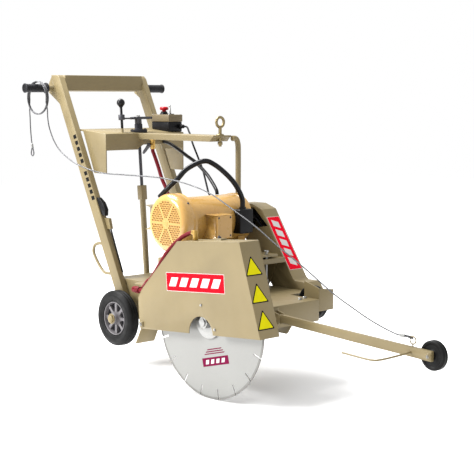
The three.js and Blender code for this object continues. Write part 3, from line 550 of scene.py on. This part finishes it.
def rope():
    coil = coil_turns(math.radians(-12), 2.55, -4.95)
    line = spline(RUN + coil + ROPE_TAIL, 4)
    lobes = [0.9 + 0.1 * abs(math.cos(3 * TAU * i / 24)) for i in range(24)]
    section = [(u * lobe, v * lobe) for lobe, (u, v) in zip(lobes, circle(ROPE_R, 24))]
    piece = Shape().sweep(line, section, twist=TAU / 28, uv=True).piece(
        "pull_rope", "rope", replaces="rope_run rope_coil rope_tail", smooth=60)
    eye = Shape().sweep(spline(TAIL_EYE, 2), section, twist=TAU / 28, uv=True, across=Y)
    eye_piece = eye.piece("rope_tail_eye", "rope", smooth=60)
    sleeves = Shape().rod((-976, -289, 796), (-973, -289, 780), 4.6)
    sleeves.rod((820, -222, 293.4), (805, -226, 295), 5.4)
    sleeve_piece = sleeves.piece("rope_sleeves", "steel")


rope()


# ---------------- floor and light
def studio():
    floor = Shape().box(-9000, 9000, -9000, 9000, -6, -1)
    mesh = bpy.data.meshes.new("floor")
    floor.bm.to_mesh(mesh)
    floor.bm.free()
    mesh.transform(Matrix.Scale(0.001, 4))
    n = Nodes("floor_paper", 0.9, specular=0.1)
    n.colour(n.ramp(n.noise(3, 3), [(0.2, grey(0.86)), (0.8, grey(0.88))]))
    n.settle(n.shader, {"Emission Color": grey(1), "Emission Strength": 0.12})
    mesh.materials.append(n.material)
    stage = bpy.data.objects.new("floor", mesh)
    bpy.context.scene.collection.objects.link(stage)
    world = bpy.data.worlds.new("studio")
    world.use_nodes = True
    n.settle(world.node_tree.nodes["Background"], {"Color": grey(1), "Strength": 1.0})
    bpy.context.scene.world = world
    for name, place, size, power in (
        ("key", (-1.9, -3.6, 2.4), 1.6, 235),
        ("top", (-1.7, -0.6, 3.4), 1.8, 290),
    ):
        light = bpy.data.lights.new(name, "AREA")
        light.size = size
        light.energy = power
        lamp = bpy.data.objects.new(name, light)
        lamp.location = place
        lamp.rotation_euler = (Vector((0, 0, 0.45)) - Vector(place)).to_track_quat("-Z", "Y").to_euler()
        bpy.context.scene.collection.objects.link(lamp)


studio()


# ---------------- frame, guard and sheet metal
GUARD_AT = Matrix.Translation((ARBOR_X, 0, ARBOR_Z)) @ Matrix.Rotation(math.radians(-4.4), 4, "Y")
GUARD_NEAR, GUARD_FAR = -379, -295
ARM_Y, GAP_AFTER = 212, 5


def weld(shape, start, end, r):
    """A weld bead: overlapping ripples along a straight line."""
    count = max(2, round((end - start).length / 3))
    line = [start.lerp(end, k / count) for k in range(count + 1)]
    rings = []
    heading = (line[-1] - line[0]).normalized()
    side = heading.orthogonal().normalized()
    normal = heading.cross(side)
    for i, p in enumerate(line):
        swell = r * (0.55 if i in (0, len(line) - 1) else (1.0 if i % 2 else 0.82))
        rings.append([p + side * u * swell + normal * v * swell for u, v in circle(1, 10)])
    shape.skin(rings)
    return shape


def decal(name, outline, at, material, z0, z1):
    return Shape().plate(outline, z0, z1, at).piece(name, material)


def rect(x0, x1, y0, y1, r=0.0):
    corners = [(x0, y0), (x1, y0), (x1, y1), (x0, y1)]
    return rounded(corners, r, 5) if r else corners


def brand_panel(name, x0, x1, y0, y1, at, red="film_red"):
    """A plain red panel with a thin white border and a row of plain slanted white blocks."""
    height = y1 - y0
    border, margin = 0.025 * height, 0.2 * height
    decal(f"{name}_border", rect(x0, x1, y0, y1, 2), at, "film_white", 0.0, 0.3)
    decal(f"{name}_field", rect(x0 + border, x1 - border, y0 + border, y1 - border, 1.5), at, red, 0.2, 0.45)
    white = Shape()
    blocks = 5
    span = (x1 - x0 - 2 * margin) / blocks
    for k in range(blocks):
        left = x0 + margin + k * span
        right, lean = left + 0.66 * span, 0.3 * span
        low, high = y0 + 0.26 * height, y0 + 0.74 * height
        white.plate([(left, low), (right, low), (right + lean, high), (left + lean, high)], 0.4, 0.6, at)
    white.piece(f"{name}_blocks", "film_white")


def caution_triangle(name, at, size):
    """A plain yellow triangle with a black border, with no sign in it."""
    points = circle(size, 3, TAU / 4)
    inside = circle(0.83 * size, 3, TAU / 4)
    decal(f"{name}_border", rounded(points, 3), at, "film_black", 0.0, 0.3)
    decal(f"{name}_field", rounded(inside, 2), at, "film_yellow", 0.2, 0.45)


def guard():
    refined("blade_guard", "tan", 0.9)
    refined("splash_flap", "tan", 0.7)
    fixings = Shape()
    fixings.bolt(GUARD_AT @ Vector((-301, GUARD_NEAR - 6, -21)), -Y, 6.5)
    fixings.bolt(GUARD_AT @ Vector((10, GUARD_NEAR, 58)), -Y, 4.5)
    fixings.bolt(GUARD_AT @ Vector((70, GUARD_NEAR, -18)), -Y, 4.5)
    fixings.piece("guard_bolts", "steel")
    lug = Shape().bolt(GUARD_AT @ Vector((41, GUARD_FAR - 18, 268)), GUARD_AT.to_3x3() @ Z, 7)
    lug.piece("guard_lug_bolt", "dark_steel")
    seams = Shape()
    corners = [(-314, -30), (-314, 69), (-288, 101), (-92, 262), (204, 262), (274, -30)]
    for side in (GUARD_NEAR, GUARD_FAR):
        out = 0.5 if side == GUARD_NEAR else -0.5
        for (xa, za), (xb, zb) in zip(corners, corners[1:]):
            start, end = Vector((xa, side + out, za)), Vector((xb, side + out, zb))
            weld(seams, GUARD_AT @ start, GUARD_AT @ end, 1.0)
    seams.piece("guard_seams", "tan")
    brand_panel("guard_panel", -158, 127, 98, 160, GUARD_AT @ facing((0, GUARD_NEAR, 0), -Y, X))
    top, foot = Vector((204, 0, 262)), Vector((277, 0, -37))
    down = GUARD_AT.to_3x3() @ (foot - top).normalized()
    out = Vector((-down.z, 0, down.x))
    for k, share in enumerate((0.285, 0.565, 0.84)):
        middle = GUARD_AT @ top.lerp(foot, share)
        middle.y = -345
        place = Matrix((Y, -down, out)).transposed().to_4x4()
        caution_triangle(f"caution_{k + 1}", Matrix.Translation(middle + out * 0.2) @ place, 42)


# Each part whose own shape only needs softer corners: node, material, corner width and corner steps.
SOFTENED = [
    ("base_frame", "tan", 0.9), ("motor_stand", "tan", 0.9), ("motor_plate", "tan", 0.9),
    ("belt_guard", "tan", 0.9), ("handle_frame", "tan", 1.6), ("console", "tan", 1.0),
    ("pointer_bracket", "tan", 0.8), ("arm_clip", "black", 1.2), ("wheel_carriage", "tan", 0.9),
    ("lift_tube", "tan", 0.9), ("switch_base", "black", 2.0), ("switch_lid", "tan_dark", 2.2, 3),
    ("motor_lead_boot", "black", 4.0, 4), ("crank_bearing", "iron", 1.0),
    ("arbor_bearing_right", "iron", 1.5), ("arbor_bearing_left", "iron", 1.5),
    ("arbor_shaft", "steel", 0.5), ("depth_crank", "dark_steel", 1.0), ("pointer_bar", "tan", 1.0),
    ("valve_lever", "dark_steel", 0.8), ("water_valve", "brass", 0.6),
    ("hose_coupling", "hose", 0.6), ("hose_elbow", "brass", 0.6), ("cable_gland", "black", 0.6),
    ("belt_tension_bolt", "steel", 0.6), ("front_wheel_shade", "tan", 0.9),
]


def frame_and_handle():
    for row in SOFTENED:
        refined(*row)
    wall = Shape().plate([(208, 309), (272, 309), (272, 345), (208, 363)], -1, 3, SIDEWAYS)
    wall.bevel(0.8, 40, 2)
    wall.piece("front_wheel_shade_wall", "tan")
    Shape().bolt((297, -233, 274), -Y, 8).piece("pointer_pivot_bolt", "steel")
    deck_bolts = Shape()
    for spot in ((236, -52, 309), (226, -20, 309)):
        deck_bolts.bolt(spot, Z, 7)
    deck_bolts.piece("deck_bolts", "steel")
    route = [(-617, -189, 499), (-611, -189, 484), (-582, -189, 417), (-549, -189, 345), (-543.5, -189, 332)]
    Shape().sweep(spline(route, 5), circle(3, 16)).piece("arm_cable", "black")
    outline = [(-643, 527), (-613, 527), (-602, 489), (-625, 489)]
    tab = Shape().plate(outline, 187, 199, SIDEWAYS)
    tab.bevel(0.8, 40, 2)
    tab.piece("arm_tab", "tan")


def belt_panel():
    high, low = Vector((-98, 130, 577)), Vector((57, 130, 345))
    run = (low - high).normalized()
    out = Vector((-run.z, 0, run.x))
    place = Matrix((run, Y, out)).transposed().to_4x4()
    # The belt guard's panel takes the brighter red copy: painted light on its slope.
    brand_panel("belt_guard_panel", 32, 246, -31, 31, Matrix.Translation(high) @ place, "film_red_painted_light")


def arm_marks():
    """Plain black bars, one above another, down the outer side of the right handle arm."""
    head, foot = Vector((-805, -ARM_Y, 834)), Vector((-683, -ARM_Y, 586))
    run = (foot - head).normalized()
    across = Vector((-run.z, 0, run.x))
    place = Matrix((across, run, -Y)).transposed().to_4x4()
    bars = Shape()
    count = 11
    pitch = (foot - head).length / count
    at = Matrix.Translation(head) @ place
    for k in range(count):
        if k == GAP_AFTER:
            continue
        low, high = k * pitch, (k + 0.62) * pitch
        bars.plate([(-9, low), (9, low + 3), (9, high + 3), (-9, high)], 0, 0.35, at)
    bars.piece("arm_bars", "film_black")


guard()
belt_panel()
arm_marks()
frame_and_handle()


# ---------------- hoses, leads and bent tubes
def tube(name, node, points, r, material):
    jacket = Shape().sweep(spline(points, 5), circle(r, 20))
    jacket.piece(name, material, BODY_OF[node], node, smooth=60)


def leads_and_hoses():
    tube("power_lead_jacket", "power_lead", [
        (-639.5, 90, 804.5), (-612, 82, 802), (-580, 72, 798), (-510, 52, 781), (-436, 32, 759),
        (-365, 14, 738), (-312, 0, 716), (-266, -14, 695), (-229, -26, 673), (-199, -37, 654),
        (-188, -41, 644), (-186, -41, 633),
    ], 6.5, "black")
    tube("control_lead_jacket", "control_lead", [
        (-628.6, 182, 861), (-622, 182, 861), (-600, 172, 861), (-560, 145, 856), (-528, 122, 847),
        (-472, 84, 830), (-448, 70, 808), (-396, 52, 756), (-350, 36, 709), (-308, 18, 655),
        (-288, 8, 633), (-270, 3, 614), (-258, 0, 603),
    ], 3.5, "black")
    tube("motor_lead_jacket", "motor_lead", [
        (-285, -222, 628), (-248, -210, 664), (-226, -190, 692), (-210, -160, 727), (-172, -110, 754),
        (-154, -80, 740), (-115, -40, 691), (-100, -20, 655), (-98, -2, 620), (-98, 0, 592.5),
    ], 9, "black_gloss")
    tube("supply_hose_jacket", "supply_hose", [
        (-608, 10, 778.7), (-608, 10, 772), (-600, 10, 758), (-579, 11, 717), (-556, 12, 667),
        (-531, 14, 626), (-515, 12, 588), (-492, 5, 478), (-462, -25, 370), (-436, -90, 330),
        (-402, -160, 322), (-366, -215, 321), (-353, -236, 313), (-351, -251, 300.5), (-351, -263.7, 299),
    ], 7, "hose")
    tube("guard_hose_jacket", "guard_hose", [
        (-334.4, -276, 299), (-324, -276, 299.5), (-285, -294, 308), (-235, -326, 322), (-190, -350, 350),
        (-140, -361, 394), (-105, -364, 431), (-85, -362, 456), (-66, -356, 479), (-45, -349, 500),
        (-25, -342, 517), (0, -338, 530), (20, -337, 536),
    ], 7, "hose")
    tube("cord_hook_rod", "cord_hook", [
        (-645, -199.5, 428), (-668, -199.5, 430), (-699, -199.5, 420), (-708, -199.5, 397),
        (-690, -199.5, 366), (-655, -199.5, 331), (-638, -199.5, 322), (-594.4, -199.5, 322),
    ], 5.5, "tan")


leads_and_hoses()


# ---------------- wheels
WHEEL_X, WHEEL_Z, WHEEL_INNER_Y, WHEEL_R, GROOVE_R = -506, 173, 216, 101.5, 99.3
FRONT_AXLE_X, FRONT_AXLE_Z = 206, 285
POINTER_X, POINTER_Y, POINTER_Z = 905, -213, 246


def rear_wheel(side, name):
    """Own Z runs outward from the wheel's inner face."""
    body = f"rear_wheel_{name}"
    at = facing((WHEEL_X, WHEEL_INNER_Y * side, WHEEL_Z), (0, side, 0), X)
    tread = [(13, WHEEL_R), (17, WHEEL_R), (18, GROOVE_R), (20, GROOVE_R), (21, WHEEL_R),
             (29, WHEEL_R), (30, GROOVE_R), (32, GROOVE_R), (33, WHEEL_R), (37, WHEEL_R)]
    outer = [(42, 99.5), (46, 95), (48.4, 89.5), (49.4, 88.6), (50, 84), (49.6, 78), (48, 72), (45.6, 67.4),
             (46.6, 65.4), (45, 63), (42, 62)]
    inner = [(50 - along, r) for along, r in reversed(outer)]
    Shape().lathe(rounded(inner + tread + outer, 1.6, 3), at, 144, ring=True).piece(
        f"{body}_tyre", "tyre", body, f"rear_tyre_{name}", smooth=50)
    rim = Shape()
    barrel = [(8, 61.6), (6, 60), (6.6, 57.6), (9, 57), (22, 55), (28, 55), (41, 57), (43.4, 57.6),
              (44, 60), (42, 61.6)]
    rim.lathe(rounded(barrel, 0.8, 3), at, 120, ring=True)
    for k in range(8):
        turn = at @ Matrix.Rotation(TAU * k / 8, 4, "Z")
        spoke = rounded([(18, -6.5), (40, -4), (57, -6.5), (57, 6.5), (40, 4), (18, 6.5)], 3, 4)
        rim.plate(spoke, 13, 36, turn)
    hub = [(-1, 10), (-1, 16), (1, 20), (14, 22), (18, 26), (32, 26), (40, 22), (52, 20), (54, 17), (54, 10)]
    rim.lathe(rounded(hub, 2, 3), at, 64, ring=True)
    rim.bevel(0.8, 40, 2)
    rim.piece(f"{body}_rim", "rim", body, f"rear_rim_{name}", smooth=40)
    # A dark iron disc inside the rim, behind the spokes: painted shade, standing for the shade in the
    # recesses between them.
    Shape().lathe([(24, 10), (24, 56), (26, 56), (26, 10)], at, 64, ring=True).piece(
        f"{body}_shade_disc", "iron", body)
    nut = Shape().lathe([(54.4, 10), (54.4, 18.5), (56, 19), (57, 18.5), (57, 10)], at, 40, ring=True)
    head = [(57, 9), (57, 14.2), (57.8, 15), (62, 15), (63.6, 13), (65, 8), (65.4, 0.5), (57, 0.5)]
    nut.lathe(head, at, 6)
    nut.piece(f"axle_nut_{name}", "tan")


def front_wheel(name, y):
    body = f"front_wheel_{name}"
    at = along_y(FRONT_AXLE_X, FRONT_AXLE_Z, y)
    half = [(-19, 8.5), (-19, 16), (-12, 38), (-17, 48), (-17, 53), (-13, 57), (-4, 57), (-3, 56)]
    profile = half + [(-y, r) for y, r in reversed(half)]
    Shape().lathe(rounded(profile, 2, 3), at, 96, ring=True).piece(
        f"{body}_tread", "tyre", body, body, smooth=50)
    hub = rounded([(-20.5, 8.6), (-20.5, 14), (20.5, 14), (20.5, 8.6)], 1, 2)
    Shape().lathe(hub, at, 40, ring=True).piece(f"{body}_hub", "steel", body)


def pointer_wheel():
    at = along_y(POINTER_X, POINTER_Z, POINTER_Y)
    profile = [(7, 7), (7, 15), (9.5, 18), (10, 32), (7.4, 36), (7.4, 40), (10, 43.8), (15, 43.8),
               (16, 43), (19, 43), (20, 43.8), (25, 43.8), (27.6, 40), (27.6, 36), (25, 32), (25.5, 18),
               (28, 15), (28, 7)]
    Shape().lathe(rounded(profile, 1.5, 3), at, 96, ring=True).piece(
        "pointer_wheel_tread", "tyre", "pointer_wheel", "pointer_wheel", smooth=50)
    cap = Shape().lathe([(-14, 0.5), (-14, 5), (-13, 6), (-11, 6), (-11, 0.5)], at, 24)
    cap.bolt((POINTER_X, POINTER_Y + 30, POINTER_Z), Y, 9, washer=False)
    cap.piece("pointer_axle_ends", "steel", "pointer")


rear_wheel(-1, "right")
rear_wheel(1, "left")
front_wheel("right", -247)
front_wheel("left", 42)
pointer_wheel()


# ---------------- motor
MOTOR_X, MOTOR_Z, COVER_R = -188, 546, 101
MOTOR_PULLEY_R, ARBOR_PULLEY_R, BELT_LIFT = 19.6, 22.3, 2


def motor():
    at = along_y(MOTOR_X, MOTOR_Z)
    shell = [(-235.7, 12.5), (-235.7, 70), (-233, 80), (-228, 84.6), (-222, 85), (-2, 85), (0, 86.2),
             (30, 86.2), (32, 88.6), (50, 88.6), (56, 82), (60, 66), (62, 63), (62, 34), (58, 30),
             (58, 12.5)]
    body = Shape().lathe(rounded(shell, 3, 4), at, 128, ring=True)
    for y in (-170, 0):
        body.box(MOTOR_X - 92, MOTOR_X + 92, y, y + 35, 432.3, 441)
        cheek = [(MOTOR_X - 62, 440), (MOTOR_X - 66, 486), (MOTOR_X + 66, 486), (MOTOR_X + 62, 440)]
        body.plate(cheek, -y - 35, -y, SIDEWAYS)
    body.bevel(1.2, 40, 2)
    body.piece("motor_shell", "gold", "chassis", "motor_body", smooth=40)
    boxes = Shape().box(MOTOR_X + 60, MOTOR_X + 136, -165, -94, 495, 575)
    boxes.bevel(5, 40, 4)
    boxes.piece("conduit_box", "gold", smooth=50)
    lid = Shape().box(MOTOR_X + 134.5, MOTOR_X + 139, -163, -96, 497, 573)
    lid.bevel(2, 40, 3)
    lid.piece("conduit_lid", "gold", smooth=50)
    can = Shape().box(MOTOR_X - 170, MOTOR_X - 70, -214, -140, 509, 595)
    can.bevel(9, 40, 4)
    can.piece("capacitor_cover", "tan", smooth=50)
    fixings = Shape()
    for y in (-152, 18):
        for x in (MOTOR_X - 78, MOTOR_X + 78):
            fixings.bolt((x, y, 441), Z, 7)
    fixings.piece("motor_foot_bolts", "dark_steel")
    screws = Shape()
    for y in (-156, -103):
        for z in (504, 566):
            screws.lathe([(0, 3.4), (1.2, 3.2), (2.0, 2.2), (2.2, 0.4)], facing((-49, y, z), X), 20)
    for k in range(4):
        angle = TAU * (k + 0.5) / 4
        screws.bolt((MOTOR_X + 76 * math.cos(angle), 57, MOTOR_Z + 76 * math.sin(angle)), Y, 5, washer=False)
    screws.piece("motor_screws", "dark_steel")


def honeycomb(inner, outer, half_angle, pitch, r):
    """Small round holes in six wedges round the middle."""
    holes = []
    rows = int(outer / (pitch * 0.866)) + 1
    corner = circle(r, 8, TAU / 16)
    for row in range(-rows, rows + 1):
        for column in range(-rows - 2, rows + 3):
            u = (column + (row % 2) / 2) * pitch
            v = row * pitch * 0.866
            reach = math.hypot(u, v)
            if not inner < reach < outer:
                continue
            wedge = TAU / 6
            off = (math.atan2(u, v) + wedge / 2) % wedge - wedge / 2
            if abs(off) * reach < reach * half_angle - 1.5:
                holes.append([(u + du, v + dv) for du, dv in corner])
    return holes


def fan_cover():
    y0, y1 = -276, -218
    at = along_y(MOTOR_X, MOTOR_Z)
    face_r = 78
    holes = honeycomb(19, 75, 0.45, 8.4, 3.2)
    cover = Shape().plate(circle(face_r, 128), y0, y0 + 2.4, at, holes)
    bend = [(y0 + 23 - 23 * math.cos(a), face_r + 23 * math.sin(a))
            for a in (TAU / 4 * k / 10 for k in range(11))]
    low = COVER_R - 1
    bead = [(y1 - 12, COVER_R), (y1 - 10, low), (y1 - 8, low), (y1 - 6, COVER_R), (y1, COVER_R)]
    inside = [(y1, COVER_R - 3), (y0 + 26, COVER_R - 3), (y0 + 10, COVER_R - 12), (y0 + 2.4, face_r - 1)]
    cover.lathe([(y0, face_r)] + bend[1:] + bead + inside, at, 128, ring=True)
    cover.piece("fan_cover_shell", "gold", "chassis", "motor_fan_cover", smooth=40)
    screen = [(y0 + 5, 12), (y0 + 5, face_r), (y0 + 6, face_r), (y0 + 6, 12)]
    Shape().lathe(screen, at, 96, ring=True).piece("fan_cover_screen", "gold")
    cap = [(y0 - 0.9, 0.5), (y0 - 0.9, 9), (y0 - 0.2, 10), (y0, 10.4), (y0 + 1, 10.4), (y0 + 1, 0.5)]
    Shape().lathe(cap, at, 48).piece("fan_cover_cap", "gold")
    screws = Shape()
    for k in range(4):
        angle = TAU * (k + 0.5) / 4
        out = Vector((math.cos(angle), 0, math.sin(angle)))
        spot = Vector((MOTOR_X, y1 - 18, MOTOR_Z)) + out * (COVER_R - 0.4)
        screws.lathe([(0, 4.4), (1, 4.2), (2.2, 2.8), (2.4, 0.4)], facing(spot, out), 20)
    screws.piece("fan_cover_screws", "dark_steel")


def rotor():
    at = along_y(MOTOR_X, MOTOR_Z)
    shaft = Shape().lathe([(-264, 9), (-262, 10.7), (151, 10.7), (153, 9)], at, 40)
    shaft.lathe([(-260, 10), (-260, 60), (-256.5, 60), (-256.5, 10)], at, 64, ring=True)
    for k in range(8):
        angle = TAU * k / 8
        radial = Matrix.Translation((MOTOR_X, 0, MOTOR_Z)) @ Matrix.Rotation(angle, 4, "Y")
        shaft.box(30, 70, -257, -242, -1.5, 1.5, radial)
    shaft.piece("rotor_and_fan", "iron", "motor_rotor", "motor_shaft_and_fan", smooth=35)
    belt_pulley("motor_pulley_turned", MOTOR_X, MOTOR_Z, MOTOR_PULLEY_R, 11, "motor_rotor", "motor_pulley")
    belt_pulley("arbor_pulley_turned", ARBOR_X, ARBOR_Z, ARBOR_PULLEY_R, 12, "arbor", "arbor_pulley")
    belts()


def belt_pulley(name, x, z, r, bore, body, node):
    y, rim, groove = 130, r - 1, r - 6
    profile = [(y - 20, bore), (y - 20, rim), (y - 18, rim), (y - 12, groove), (y - 8, groove), (y - 2, rim),
               (y + 2, rim), (y + 8, groove), (y + 12, groove), (y + 18, rim), (y + 20, rim), (y + 20, bore)]
    Shape().lathe(rounded(profile, 0.6, 2), along_y(x, z), 72, ring=True).piece(name, "iron", body, node)


def belts():
    dx, dz = ARBOR_X - MOTOR_X, ARBOR_Z - MOTOR_Z
    heading = math.atan2(dz, dx)
    lean = math.asin((ARBOR_PULLEY_R - MOTOR_PULLEY_R) / math.hypot(dx, dz))
    first = heading + math.pi / 2 + lean
    span = math.pi - 2 * lean
    small = circle(MOTOR_PULLEY_R + BELT_LIFT, 24, first, span)
    large = circle(ARBOR_PULLEY_R + BELT_LIFT, 24, first + span, TAU - span)
    section = rounded([(-6.5, 1.8), (6.5, 1.8), (4.5, -1.8), (-4.5, -1.8)], 0.5, 2)
    pair = Shape()
    for y in (120, 140):
        loop = [Vector((MOTOR_X + u, y, MOTOR_Z + v)) for u, v in small]
        loop += [Vector((ARBOR_X + u, y, ARBOR_Z + v)) for u, v in large]
        pair.sweep(loop, section, wrap=True, across=Y)
    pair.piece("vee_belts", "rubber", "chassis", "drive_belts", smooth=40)


motor()
fan_cover()
rotor()


# ---------------- blade
BLADE_R, SLOTS_ROUND = 254, 18


def blade():
    """The core has straight slots with round ends between its segments, which stand a little proud of it."""
    at = along_y(ARBOR_X, ARBOR_Z)
    step = TAU / SLOTS_ROUND
    core_r, half, depth, eye = 247, 2.4, 24, 2.8
    outline = []
    for k in range(SLOTS_ROUND):
        gap = half / core_r
        outline += circle(core_r, 12, k * step + gap, step - 2 * gap)
        turn = (k + 1) * step
        u, v = math.cos(turn), math.sin(turn)
        open_angle = math.pi - math.asin(half / eye)
        for n in range(11):
            b = open_angle * (n / 5 - 1)
            inward, side = core_r - depth - eye * math.cos(b), eye * math.sin(b)
            outline.append((inward * u - side * v, inward * v + side * u))
    disc = Shape().plate(outline, BLADE_Y - 1.3, BLADE_Y + 1.3, at, [circle(13, 48)])
    disc.piece("blade_core", "blade", "arbor", "saw_blade", smooth=30)
    tips = Shape()
    for k in range(SLOTS_ROUND):
        gap = half / BLADE_R
        low, high = k * step + gap, (k + 1) * step - gap
        arc = circle(BLADE_R - 0.1, 12, low, high - low) + circle(core_r - 0.2, 12, high, low - high)
        tips.plate(arc, BLADE_Y - 1.65, BLADE_Y + 1.65, at)
    tips.piece("blade_segments", "segment", "arbor")
    blade_label()


def blade_label():
    """A small plain label: a magenta field with white blocks, and three plain strokes above it."""
    near = BLADE_Y - 1.35
    place = Matrix.Translation((135, near, 128)) @ Matrix.Rotation(math.radians(-14), 4, "Y") @ SIDEWAYS
    field = Shape().plate(rect(-64, 64, -14, 14, 1.5), 0, 0.25, place)
    field.piece("blade_label_field", "film_magenta", "arbor")
    white = Shape()
    for k in range(4):
        left = -50 + 26 * k
        white.plate([(left, -7), (left + 15, -7), (left + 20, 7), (left + 5, 7)], 0.2, 0.4, place)
    white.piece("blade_label_blocks", "film_white", "arbor")
    strokes = Shape()
    for k in range(3):
        base, left, right = 24 + 7 * k, -50 + 8 * k, 48 - 6 * k
        stroke = [(left, base), (right, base), (right + 4, base + 3.4), (left + 4, base + 3.4)]
        strokes.plate(stroke, 0, 0.25, place)
    strokes.piece("blade_label_strokes", "film_magenta", "arbor")


def flanges():
    at = along_y(ARBOR_X, ARBOR_Z)
    profile = [(-339, 13), (-339, 57), (-345, 57), (-347, 55), (-350.6, 36), (-350.6, 13)]
    Shape().lathe(rounded(profile, 1.2, 3), at, 96, ring=True).piece(
        "outer_flange_turned", "steel", "arbor", "outer_blade_flange")
    nut = Shape().lathe([(-351, 13), (-351, 22), (-353.6, 22), (-353.6, 13)], at, 48, ring=True)
    head = [(-354, 13), (-354, 19.6), (-355, 21), (-366.6, 21), (-367.7, 19.2), (-367.7, 13)]
    nut.lathe(head, at, 6, ring=True)
    nut.piece("arbor_nut_turned", "steel", "arbor", "arbor_nut")


blade()
flanges()


# ---------------- handles, knobs and controls
GRIP_X, GRIP_Z = -947, 1009
CRANK_REACH = 79
LIFT_LEAN = math.atan2(52, 685)
LIFT_AT = Matrix.Translation((-679, 0, 839)) @ Matrix.Rotation(-LIFT_LEAN, 4, "Y")


def grips():
    for side, name in ((-1, "right"), (1, "left")):
        profile = [(237, 12.9), (237, 20), (238.5, 21), (241.5, 21), (243, 20), (243.6, 16.2)]
        for k in range(12):
            start = 246 + k * 7
            profile += [(start, 16), (start + 1, 15.2), (start + 2.4, 15.2), (start + 3.4, 16)]
        profile += [(331, 16), (333, 18), (336, 18), (337, 16.4), (337, 12.9)]
        at = facing((GRIP_X, 0, GRIP_Z), (0, side, 0), X)
        Shape().lathe(profile, at, 64, ring=True).piece(
            f"grip_{name}_moulded", "rubber", "chassis", f"grip_{name}", smooth=40)
        plug = Shape().lathe([(332, 0.5), (334.5, 0.5), (336.4, 8), (336.4, 12.6), (332, 12.6)], at, 40)
        plug.piece(f"grip_{name}_plug", "black")


def lifting_eye():
    x, y = -228, 11.5
    up = facing((x, y, 0), Z)
    eye = Shape().lathe([(u, 17.5 + v) for u, v in circle(5, 24)], facing((x, y, 886), X), 72, ring=True)
    shank = [(799, 0.5), (799, 5.5), (841, 5.5), (842, 6), (866, 6), (870, 8), (871, 0.5)]
    eye.lathe(rounded(shank, 1, 2), up, 32)
    collar = [(839.3, 0.5), (839.3, 14), (842, 14), (844, 11), (845, 6.5), (846, 0.5)]
    eye.lathe(rounded(collar, 0.8, 2), up, 40)
    eye.lathe([(805, 5), (805, 8), (806, 9), (815.6, 9), (816.6, 8), (816.6, 5)], up, 6, ring=True)
    eye.piece("lifting_eye_forged", "zinc", "chassis", "lifting_eye", smooth=50)


def bail_tube():
    x, y, z = -211, 84, 828
    bend = [Vector((x, y - 20 * (1 - t) ** 2, z - 40 * t * t)) for t in (k / 12 for k in range(13))]
    drop = [Vector((x, y, z - 40 - (z - 40 - 417.4) * k / 6)) for k in range(1, 7)]
    line = [Vector((x, 55.4, z)), Vector((x, 60, z))] + bend + drop
    Shape().sweep(line, circle(10, 32)).piece("bail_tube_bent", "tan", "chassis", "bail_tube", smooth=60)
    foot = [(417.3, 10.5), (417.3, 13.5), (419, 12.5), (421, 10.5)]
    Shape().lathe(foot, facing((x, y, 0), Z), 40, ring=True).piece("bail_tube_weld", "tan")


def crank_parts():
    knob = Shape().ball(15.5, LIFT_AT @ Matrix.Translation((0, -CRANK_REACH, 115)), -0.98, 0.995)
    foot = LIFT_AT @ Matrix.Translation((0, -CRANK_REACH, 0))
    knob.lathe([(98, 5), (98, 8), (102, 8), (102, 5)], foot, 32, ring=True)
    knob.rod(LIFT_AT @ Vector((0, -CRANK_REACH, 18.5)), LIFT_AT @ Vector((0, -CRANK_REACH, 104)), 5)
    knob.piece("crank_knob_ball", "black_gloss", "crank_lock", "crank_lock_knob", smooth=50)
    up = LIFT_AT.to_3x3() @ Z
    Shape().bolt(LIFT_AT @ Vector((0, 0, 61)), up, 8).piece("crank_hub_bolt", "steel", "crank")
    fixings = Shape()
    for turn in range(4):
        angle = TAU * (turn + 0.5) / 4
        seat = LIFT_AT @ Vector((25 * math.cos(angle), 25 * math.sin(angle), 13))
        fixings.bolt(seat, up, 4.2, washer=False)
    fixings.piece("crank_bearing_bolts", "dark_steel")


def switches():
    x, toggle_x, y, top = -724, -684, 163, 907
    button = [(884, 0.5), (884, 8), (924, 8), (924, 15.5), (928, 17), (933, 17), (937, 13), (937.4, 0.5)]
    stop = Shape().lathe(rounded(button, 2, 4), facing((x, y, 0), Z), 64)
    stop.piece("stop_button_moulded", "red", "stop_button", "stop_button", smooth=50)
    seat = [(top + 0.2, 9), (top + 0.2, 17), (top + 3, 17), (top + 5, 14), (top + 12, 12), (top + 12, 9)]
    collar = Shape().lathe(rounded(seat, 1, 2), facing((x, y, 0), Z), 48, ring=True)
    seat = [(top + 0.2, 11.5), (top + 0.2, 14), (top + 3, 14), (top + 3, 11.5)]
    collar.lathe(rounded(seat, 0.6, 2), facing((toggle_x, y, 0), Z), 40, ring=True)
    collar.piece("switch_collars", "black")
    lever = Shape().rod((toggle_x, y, 902), (toggle_x - 6, y, 941), 3.4)
    lever.ball(4.6, Matrix.Translation((toggle_x - 6, y, 940)))
    lever.rod((toggle_x, y - 7, 905), (toggle_x, y + 7, 905), 4.4)
    lever.piece("start_toggle_lever", "steel", "start_toggle", "start_toggle", smooth=50)
    screws = Shape()
    head = [(top, 3.6), (top + 1, 3.4), (top + 1.8, 2.2), (top + 2, 0.4)]
    for sx in (-756, -659):
        for sy in (134, 192):
            screws.lathe(head, facing((sx, sy, 0), Z), 20)
    screws.piece("switch_lid_screws", "steel")


grips()
lifting_eye()
bail_tube()
crank_parts()
switches()


# ---------------- sizes
def corners(bounds):
    return [[float(value) for value in corner] for corner in bounds]
